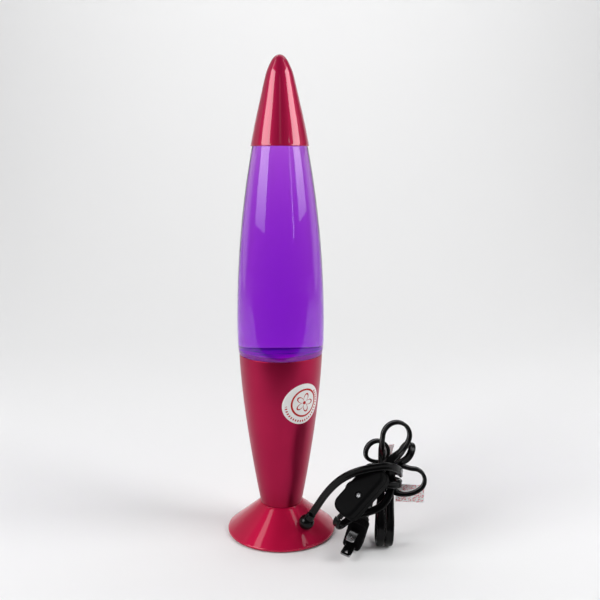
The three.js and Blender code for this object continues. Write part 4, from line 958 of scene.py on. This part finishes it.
def make_tag(name, middle, across, fall, through, width, length, curl):
    columns, rows = 16, 20
    faces, vertices, spots = [], [], []
    half = TAG_THICK / 4
    for side in (1, -1):
        for j in range(rows + 1):
            for i in range(columns + 1):
                u, v = i / columns - 0.5, j / rows - 0.5
                bend = curl * (0.25 - v * v) * 2 + curl * 0.5 * math.sin(5 * u + 2 * v)
                vertices.append(middle + across * (u * width) + fall * (v * length)
                                + through * (bend + side * half))
                spots.append((u + 0.5, v + 0.5))
    layer = (rows + 1) * (columns + 1)
    for j in range(rows):
        for i in range(columns):
            a = j * (columns + 1) + i
            quad = (a, a + 1, a + columns + 2, a + columns + 1)
            faces.append(quad)
            faces.append(tuple(layer + k for k in reversed(quad)))
    rim = list(range(columns + 1))
    rim += [(j + 1) * (columns + 1) - 1 for j in range(1, rows + 1)]
    rim += [rows * (columns + 1) + i for i in range(columns - 1, -1, -1)]
    rim += [j * (columns + 1) for j in range(rows - 1, 0, -1)]
    for k, a in enumerate(rim):
        b = rim[(k + 1) % len(rim)]
        faces.append((b, a, layer + a, layer + b))
    tag = new_object(name, vertices, faces, 60)
    add_map(tag, "sheet", spots)
    return tag


def make_tags():
    fall = unit([-0.2, 0.1, -1])
    across = square_to(fall, unit([1, 0.5, 0]))
    through = np.cross(across, fall)
    top = np.array([85.0, -11.1, 74.6])
    small = make_tag("tag_paper_small", top + fall * 6.5, across, fall, through,
                     width=8, length=13, curl=0.12)
    corner = np.array([89.5, -15.6, 29.6])
    middle = corner + hank_right * 11 + hank_up * 7
    large = make_tag("tag_paper_large", middle, hank_right, -hank_up, -hank_front,
                     width=22, length=14, curl=0.15)
    return small, large


tag_small, tag_large = make_tags()
placed = {
    "foot": ("base", "red_metal", make_foot()),
    "felt_pad": ("base", "felt", make_pad()),
    "base_cup": ("base", "cup_metal", make_cup()),
    "round_label": ("base", "label", make_label()),
    "cord_grommet": ("base", "black_plastic", make_grommet()),
    "cord_sleeve": ("base", "black_plastic", make_sleeve()),
    "switch_front": ("base", "black_plastic", switch_half("switch_case_front", 1)),
    "switch_rear": ("base", "black_plastic", switch_half("switch_case_rear", -1)),
    "switch_screw": ("base", "steel", make_screw()),
    "switch_wheel": ("thumb_wheel", "black_plastic", make_wheel()),
    "plug_body": ("base", "black_plastic", make_plug()),
    "plug_blade_narrow": ("base", "steel", make_blade("blade_narrow", 6.35, -1)),
    "plug_blade_wide": ("base", "steel", make_blade("blade_wide", 7.9, 1)),
    "tag_small": ("base", "tag", tag_small),
    "tag_large": ("base", "tag", tag_large),
    "globe": ("bottle", "globe_glass", make_globe()),
    "wax": ("bottle", "wax", make_wax()),
    "liquid": ("bottle", "liquid", make_liquid()),
    "crown_cap": ("bottle", "steel", make_crown()),
    "pointed_cover": ("cover", "red_metal", make_cover()),
    "bulb_glass": ("bulb", "bulb_glass", make_bulb()),
    "bulb_shell": ("bulb", "brass", make_bulb_shell()),
}
for node, (body, slot_name, piece) in placed.items():
    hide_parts(node)
    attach(piece, body)

# The two cords: from the lamp to its switch, and from the switch to the plug

def make_cord(name, route, nodes, pieces):
    points, flats = route
    cord = sweep(name, points, flats, twin_section())
    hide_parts(*nodes)
    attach(cord, "base")
    return cord


cords = [
    make_cord("lamp_side_cord", lamp_side_route(), ["cord_lead", "cord_hank_lamp_side"],
              [placed[node][2] for node in ("switch_front", "switch_rear", "switch_screw", "switch_wheel")]
              + ["switch_wheel_pin"]),
    make_cord("plug_side_cord", plug_side_route(), ["cord_hank_plug_side", "cord_tail"],
              [placed[node][2] for node in ("plug_body", "plug_blade_narrow", "plug_blade_wide", "tag_small",
                                            "tag_large")]),
]

# Materials

def shader_of(made):
    return made.node_tree.nodes["Principled BSDF"]


def material(name, color, **sockets):
    made = bpy.data.materials.new(name)
    made.use_nodes = True
    shader = shader_of(made)
    shader.inputs["Base Color"].default_value = (*color, 1)
    for key, value in sockets.items():
        shader.inputs[key.replace("_", " ")].default_value = value
    return made


def node(made, kind, **values):
    new = made.node_tree.nodes.new(kind)
    for key, value in values.items():
        new.inputs[key.replace("_", " ")].default_value = value
    return new


class Signal:
    """The value of a node's socket, for further nodes to reckon with."""

    def __init__(self, made, source, output):
        self.made, self.socket = made, source.outputs[output]

    def into(self, target, entry):
        self.made.node_tree.links.new(self.socket, target.inputs[entry])

    def worked(self, operation, other=None):
        new = node(self.made, "ShaderNodeMath")
        new.operation = operation
        self.into(new, 0)
        if isinstance(other, Signal):
            other.into(new, 1)
        elif other is not None:
            new.inputs[1].default_value = other
        return Signal(self.made, new, "Value")

    def __add__(self, other):
        return self.worked("ADD", other)

    def __sub__(self, other):
        return self.worked("SUBTRACT", other)

    def __mul__(self, other):
        return self.worked("MULTIPLY", other)

    def __abs__(self):
        return self.worked("ABSOLUTE")

    def near(self, centre, half):
        return abs(self - centre).worked("LESS_THAN", half)

    def spread(self, start, end, low=0.0, high=1.0):
        new = node(self.made, "ShaderNodeMapRange", From_Min=start, From_Max=end, To_Min=low, To_Max=high)
        self.into(new, "Value")
        return Signal(self.made, new, "Result")

    def ramp(self, *stops):
        """The colour between two stops, each a position and a colour."""
        new = node(self.made, "ShaderNodeValToRGB")
        for element, (position, color) in zip(new.color_ramp.elements, stops):
            element.position = position
            element.color = (*color, 1)
        self.into(new, "Fac")
        return Signal(self.made, new, "Color")

    def between(self, first, second):
        """The mix of two colours, each a triple or a signal."""
        new = node(self.made, "ShaderNodeMix")
        new.data_type = "RGBA"
        self.into(new, "Factor")
        for entry, color in (("A", first), ("B", second)):
            if isinstance(color, Signal):
                color.into(new, entry)
            else:
                new.inputs[entry].default_value = (*color, 1)
        return Signal(self.made, new, "Result")


def axes(made, output="Object", kind="ShaderNodeTexCoord"):
    """The three parts of one of a surface's coordinates."""
    parts = node(made, "ShaderNodeSeparateXYZ")
    Signal(made, node(made, kind), output).into(parts, "Vector")
    return [Signal(made, parts, axis) for axis in "XYZ"]


def reach(x, y):
    return (x * x + y * y).worked("SQRT")


def noise_on(made, scale, detail=3.0, stretch=None):
    """Noise in the object's own coordinates."""
    spot = Signal(made, node(made, "ShaderNodeTexCoord"), "Object")
    if stretch:
        mapping = node(made, "ShaderNodeMapping", Scale=stretch)
        spot.into(mapping, "Vector")
        spot = Signal(made, mapping, "Vector")
    noise = node(made, "ShaderNodeTexNoise", Scale=scale, Detail=detail)
    spot.into(noise, "Vector")
    return Signal(made, noise, "Fac")


def vary_roughness(made, low, high, scale):
    noise_on(made, scale).spread(0, 1, low, high).into(shader_of(made), "Roughness")


def vary_color(made, first, second, scale):
    noise_on(made, scale).ramp((0.35, first), (0.65, second)).into(shader_of(made), "Base Color")


def add_bump(made, scale, strength, distance):
    bump = node(made, "ShaderNodeBump", Strength=strength, Distance=distance)
    noise_on(made, scale, 2.0).into(bump, "Height")
    Signal(made, bump, "Normal").into(shader_of(made), "Normal")


def rubbed(name, color, low, high, scale, bump=None, **sockets):
    """A plain colour whose roughness drifts from low to high, with a fine bump where one is given."""
    made = material(name, color, **sockets)
    vary_roughness(made, low, high, scale)
    if bump:
        add_bump(made, *bump)
    return made


def painted(name, color, tones, mottle, low, high, grain, **sockets):
    """Metallic paint whose colour drifts between two tones as its roughness does from low to high."""
    made = rubbed(name, color, low, high, grain, **sockets)
    vary_color(made, *tones, mottle)
    return made


def bare_metal(name, color, low, high, scale):
    return rubbed(name, color, low, high, scale, Metallic=1.0, Roughness=(low + high) / 2)


def plain(name, first, second, scale, roughness):
    """A matt or glazed body whose colour drifts from first to second."""
    made = material(name, first, Roughness=roughness)
    vary_color(made, first, second, scale)
    add_bump(made, scale * 8, 0.15, 0.0002)
    return made


def liquid_purple():
    made = material("liquid_purple", (1, 1, 1), Roughness=0.0, IOR=1.0, Transmission_Weight=1.0)
    absorb = node(made, "ShaderNodeVolumeAbsorption", Density=68.0, Color=(0.68, 0.0, 0.909, 1))
    Signal(made, absorb, "Volume").into(made.node_tree.nodes["Material Output"], "Volume")
    return made


def wax_purple():
    """Violet wax with smears on its top, an even wall, and a painted shade line where its top meets the
    glass.
    """
    made = material("wax_purple", (0.6, 0.004, 0.8), Roughness=0.45, Specular_IOR_Level=0.05)
    smears = noise_on(made, 70.0, 1.0, (1, 1, 2.5))
    smears = smears.ramp((0.36, (0.33, 0.002, 0.46)), (0.52, (0.8, 0.004, 0.76)))
    x, y, _ = axes(made)
    _, _, upward = axes(made, "Normal")
    body = upward.spread(0.2, 0.6).between((0.35, 0.004, 0.45), smears)
    # Painted shade: the wax's top turns dark violet in a ring 24.5 to 27.5 mm out, where it meets the glass
    rim = upward.spread(0.5, 0.9) * reach(x, y).spread(24.5 * MM, 27.5 * MM)
    rim.between(body, (0.06, 0.001, 0.16)).into(shader_of(made), "Base Color")
    return made


def label_print():
    """White paper with a red ring, an arc of dots and a flower of five petals, in the label's own map."""
    made = material("label_print", (0.86, 0.85, 0.85), Roughness=0.35, Specular_IOR_Level=0.2)
    x, y = [(part - 0.5) * 2.0 for part in axes(made, "UV")[:2]]
    dots = (y.worked("ARCTAN2", x) * 40.0).worked("SINE").worked("GREATER_THAN", 0.0)
    low_half = (y - x * 0.4).worked("LESS_THAN", 0.3)
    beads = reach(x, y).near(0.85, 0.05) * dots * low_half
    aside, above = x - 0.06, y - 0.05
    inner = reach(aside, above)
    petal = abs((above.worked("ARCTAN2", aside) * 2.5).worked("COSINE"))
    flower = (inner - (petal * 0.33 + 0.12)).near(0.0, 0.038)
    heart = inner.near(0.0, 0.085)
    ink = inner.near(0.66, 0.045).worked("MAXIMUM", beads).worked("MAXIMUM", flower.worked("MAXIMUM", heart))
    ink.between((0.8, 0.79, 0.78), (0.45, 0.004, 0.004)).into(shader_of(made), "Base Color")
    return made


def tag_paper():
    """White paper with fine pink speckle, in the tag's own map."""
    made = material("tag_paper", (0.85, 0.8, 0.8), Roughness=0.55)
    cells = node(made, "ShaderNodeTexVoronoi", Scale=17.0, Randomness=1.0)
    Signal(made, node(made, "ShaderNodeTexCoord"), "UV").into(cells, "Vector")
    speckle = Signal(made, cells, "Distance").ramp((0.3, (0.8, 0.09, 0.14)), (0.48, (0.97, 0.96, 0.96)))
    speckle.into(shader_of(made), "Base Color")
    return made


BLACK = (0.0025, 0.0025, 0.0028)
looks = {
    "red_metal": painted("red_metal", (0.39, 0.003, 0.05), ((0.375, 0.003, 0.047), (0.405, 0.004, 0.053)), 25,
                         0.42, 0.48, 60, Metallic=0.35, Roughness=0.45, Specular_IOR_Level=0.1,
                         Coat_Weight=1.0, Coat_Roughness=0.04),
    # Painted light: the foot is the same red metal as the cover, here given a lighter, more saturated copy of
    # it
    "foot_red_painted_lighter": painted("foot_red_painted_lighter", (0.51, 0.002, 0.05), ((0.49, 0.002, 0.048), (0.53, 0.003, 0.052)), 25,
                          0.42, 0.48, 60, Metallic=0.4, Roughness=0.45, Specular_IOR_Level=0.1,
                          Coat_Weight=0.8, Coat_Roughness=0.05),
    "cup_metal": painted("cup_metal", (0.4, 0.009, 0.058), ((0.38, 0.008, 0.055), (0.42, 0.01, 0.061)), 20,
                         0.33, 0.4, 45, Metallic=0.95, Roughness=0.36, Coat_Weight=0.08, Coat_Roughness=0.18),
    "globe_glass": material("globe_glass", (1, 1, 1), Roughness=0.0, IOR=1.45, Transmission_Weight=1.0),
    "liquid": liquid_purple(),
    "wax": wax_purple(),
    "cord": rubbed("black_cord", (0.002, 0.002, 0.0022), 0.16, 0.26, 300, (1200, 0.1, 0.0002),
                   Roughness=0.2, Specular_IOR_Level=0.15),
    "black_plastic": rubbed("black_plastic", BLACK, 0.5, 0.6, 200, (2500, 0.1, 0.0001),
                            Roughness=0.55, Specular_IOR_Level=0.04),
    "grommet_rubber": rubbed("grommet_rubber", BLACK, 0.12, 0.2, 200, Roughness=0.16, Specular_IOR_Level=0.2),
    "steel": bare_metal("steel", (0.62, 0.62, 0.64), 0.22, 0.4, 400),
    # Painted shade: the screw is steel, given a much darker copy of it that dims its reflections
    "screw_steel_painted_dark": bare_metal("screw_steel_painted_dark", (0.16, 0.16, 0.165), 0.3, 0.4, 500),
    # Painted shade: the blades are steel, given a darker copy of it so that their flat faces read dark
    "blade_steel_painted_dark": bare_metal("blade_steel_painted_dark", (0.22, 0.22, 0.225), 0.14, 0.24, 500),
    "brass": bare_metal("brass", (0.72, 0.5, 0.2), 0.18, 0.35, 300),
    "felt": plain("felt", (0.012, 0.012, 0.013), (0.02, 0.02, 0.022), 900, 0.95),
    "porcelain": plain("porcelain", (0.8, 0.78, 0.74), (0.76, 0.74, 0.7), 120, 0.25),
    "bulb_glass": plain("bulb_coating", (0.75, 0.75, 0.76), (0.7, 0.7, 0.71), 90, 0.2),
    "insulator": plain("insulator", (0.02, 0.018, 0.016), (0.03, 0.026, 0.022), 300, 0.6),
    "label": label_print(),
    "tag": tag_paper(),
}

# Pieces whose look isn't the one of their slot
own_looks = {
    # The foot wears the red metal painted lighter: painted light
    "foot": "foot_red_painted_lighter",
    "cord_grommet": "grommet_rubber",
    "cord_sleeve": "grommet_rubber",
    # The screw wears the steel painted darker: painted shade
    "switch_screw": "screw_steel_painted_dark",
    # The blades wear the steel painted darker: painted shade
    "plug_blade_narrow": "blade_steel_painted_dark",
    "plug_blade_wide": "blade_steel_painted_dark",
}


def dress(piece, look):
    piece.data.materials.clear()
    piece.data.materials.append(looks[look])


for node_name, (body, slot_name, piece) in placed.items():
    dress(piece, own_looks.get(node_name, slot_name))
for cord in cords:
    dress(cord, "cord")
for part in frame["record"]["subparts"]:
    if part["node"] not in placed:
        dress(frame["nodes"][part["node"]], part["material_slot"])

# Stage, in metres: a pale sweep and surround, cards for the gloss, softboxes and a weak sky

STAGE_WIDE, STAGE_NEAR, STAGE_FAR, STAGE_HIGH = 3.0, -2.0, 1.5, 2.6
STAGE_BEND = 0.9


def stage_sheet(name, vertices, faces, made):
    """A sheet of the stage, from metres."""
    sheet = new_object(name, np.array(vertices) / MM, faces)
    sheet.data.materials.append(made)
    return sheet


def make_sweep():
    """Floor and back wall in one sheet, with painted shade darkening the floor well before the object."""
    start = STAGE_FAR - STAGE_BEND
    line = [(STAGE_NEAR, 0.0), (start, 0.0)]
    line += [(start + STAGE_BEND * math.sin(a), STAGE_BEND - STAGE_BEND * math.cos(a))
             for a in np.linspace(0.1, math.pi / 2, 14)]
    line.append((STAGE_FAR, STAGE_HIGH))
    vertices = [(x, y, z) for y, z in line for x in (-STAGE_WIDE, STAGE_WIDE)]
    faces = [(2 * i, 2 * i + 1, 2 * i + 3, 2 * i + 2) for i in range(len(line) - 1)]
    made = material("stage_paper", (0.8, 0.8, 0.805), Roughness=0.9)
    # Painted shade: the floor's colour falls from 0.82 to 0.3 between 0.25 m and 0.8 m in front of the object
    shade = axes(made)[1].spread(-0.8, -0.25).ramp((0, (0.3, 0.3, 0.3)), (1, (0.82, 0.82, 0.822)))
    shade.socket.node.color_ramp.interpolation = "EASE"
    shade.into(shader_of(made), "Base Color")
    sweep_stage = stage_sheet("stage_sweep", vertices, faces, made)


def glow(name, radiance, **sockets):
    return material(name, (0, 0, 0), Roughness=1.0, Emission_Strength=radiance, Emission_Color=(1, 1, 1, 1),
                    **sockets)


def make_surround():
    """Pale walls and ground round the object, seen straight or through glass, that light nothing."""
    outline = rounded_rectangle(2.7, 3.2, 1.25, 16)
    levels = [(share, 0) for share in (0.25, 0.4, 0.5, 0.6, 0.7, 0.8, 0.88, 0.94)]
    levels += [(0.985, 0.02), (1, 0.08), (1, STAGE_HIGH)]

    def laid(x, y, z):
        """A point of the sheet, kept just over the sweep's floor and bend."""
        y = min(y, STAGE_FAR - 0.01)
        past = max(y - (STAGE_FAR - STAGE_BEND), 0)
        return x, y, max(z, STAGE_BEND - math.sqrt(STAGE_BEND ** 2 - past ** 2) + 0.002)

    vertices = [laid(x * share, y * share, z) for share, z in levels for x, y in outline]
    made = glow("surround", 0.78, Specular_IOR_Level=0.0)
    x, y, _ = axes(made)
    past_view = abs(x) - (y + 0.6) * 0.38
    shown = y.spread(0.3, -0.2).worked("MAXIMUM", past_view.spread(0.1, 0.45))
    (shown * reach(x, y).spread(0.45, 1.0)).into(shader_of(made), "Alpha")
    sheet = stage_sheet("surround", vertices, ring_faces(len(levels), len(outline)), made)
    sheet.visible_diffuse = False
    sheet.visible_glossy = False
    sheet.visible_shadow = False


def make_cards():
    """Cards that only glossy surfaces see, painted reflections: a dark one on the floor in front, bright
    glowing ones at the sides.
    """
    dark = material("dark_card", (0.02, 0.02, 0.02), Roughness=1.0)
    beside, near, far, low, middle, high = 1.5, 0.4, 1.45, 0.003, 0.62, 2.2
    cards = [(dark, [(-1.6, -1.9, 0.002), (1.6, -1.9, 0.002), (1.6, -0.3, 0.002), (-1.6, -0.3, 0.002)])]
    for name, x, bottom, top, radiance in (
            ("low_card_left", -beside, low, middle, 1.15), ("low_card_right", beside, low, middle, 1.15),
            ("high_card_left", -beside, middle, high, 0.3), ("high_card_right", beside, middle, high, 0.02)):
        corners = [(x, near, bottom), (x, far, bottom), (x, far, top), (x, near, top)]
        cards.append((glow(name, radiance), corners))
    for made, corners in cards:
        sheet = stage_sheet(made.name, corners, [(0, 1, 2, 3)], made)
        sheet.visible_camera = False
        sheet.visible_diffuse = False
        sheet.visible_transmission = False
        sheet.visible_shadow = False


def softbox(name, azimuth, distance, height, width, tall, radiance, aim=(0, 0, 0.2), fade=1.0):
    """An area light; azimuth from the camera's side, right positive; fade is the share left at its foot."""
    light = bpy.data.lights.new(name, "AREA")
    light.shape = "RECTANGLE"
    light.size, light.size_y = width, tall
    light.energy = radiance * math.pi * width * tall
    holder = bpy.data.objects.new(name, light)
    a = math.radians(azimuth)
    holder.location = (distance * math.sin(a), -distance * math.cos(a), height)
    toward = Vector(aim) - holder.location
    holder.rotation_euler = toward.to_track_quat("-Z", "Y").to_euler()
    bpy.context.collection.objects.link(holder)
    if fade < 1.0:
        light.use_nodes = True
        share_up = axes(light, "Parametric", "ShaderNodeNewGeometry")[1]
        share_up.spread(0, 0.35, fade).into(light.node_tree.nodes["Emission"], "Strength")


def make_sky():
    """A weak sky, dim in front and overhead and brighter behind the object."""
    world = bpy.data.worlds.new("sky")
    world.use_nodes = True
    background = world.node_tree.nodes["Background"]
    background.inputs["Color"].default_value = (0.96, 0.97, 1, 1)
    axes(world, "Generated")[1].spread(0.1, 0.26, 0.05, 0.65).into(background, "Strength")
    bpy.context.scene.world = world


make_sweep()
make_surround()
make_cards()
softbox("softbox_left", -60, 1.15, 0.77, 0.8, 0.92, 6.4, fade=0.3)
softbox("softbox_right", 74, 1.15, 0.79, 0.7, 0.88, 6.9, fade=0.35)
softbox("strip_left", -77, 0.65, 1.14, 0.17, 0.4, 2.6, (0, 0, 0.02))
softbox("strip_right", 80, 0.65, 1.14, 0.13, 0.4, 2.0, (0, 0, 0.02))
softbox("front_glow", 3, 1.2, 0.95, 0.2, 0.35, 0.4, (0, 0, 0.32))
softbox("strip_beside", 40, 1.2, 0.55, 0.05, 0.45, 6.0, (0, 0, 0.27))
softbox("backdrop_light", 180, 0.55, 1.5, 1.8, 0.4, 5.6, (0, 1.5, 0.75))
make_sky()
bpy.context.scene.view_settings.view_transform = "Standard"
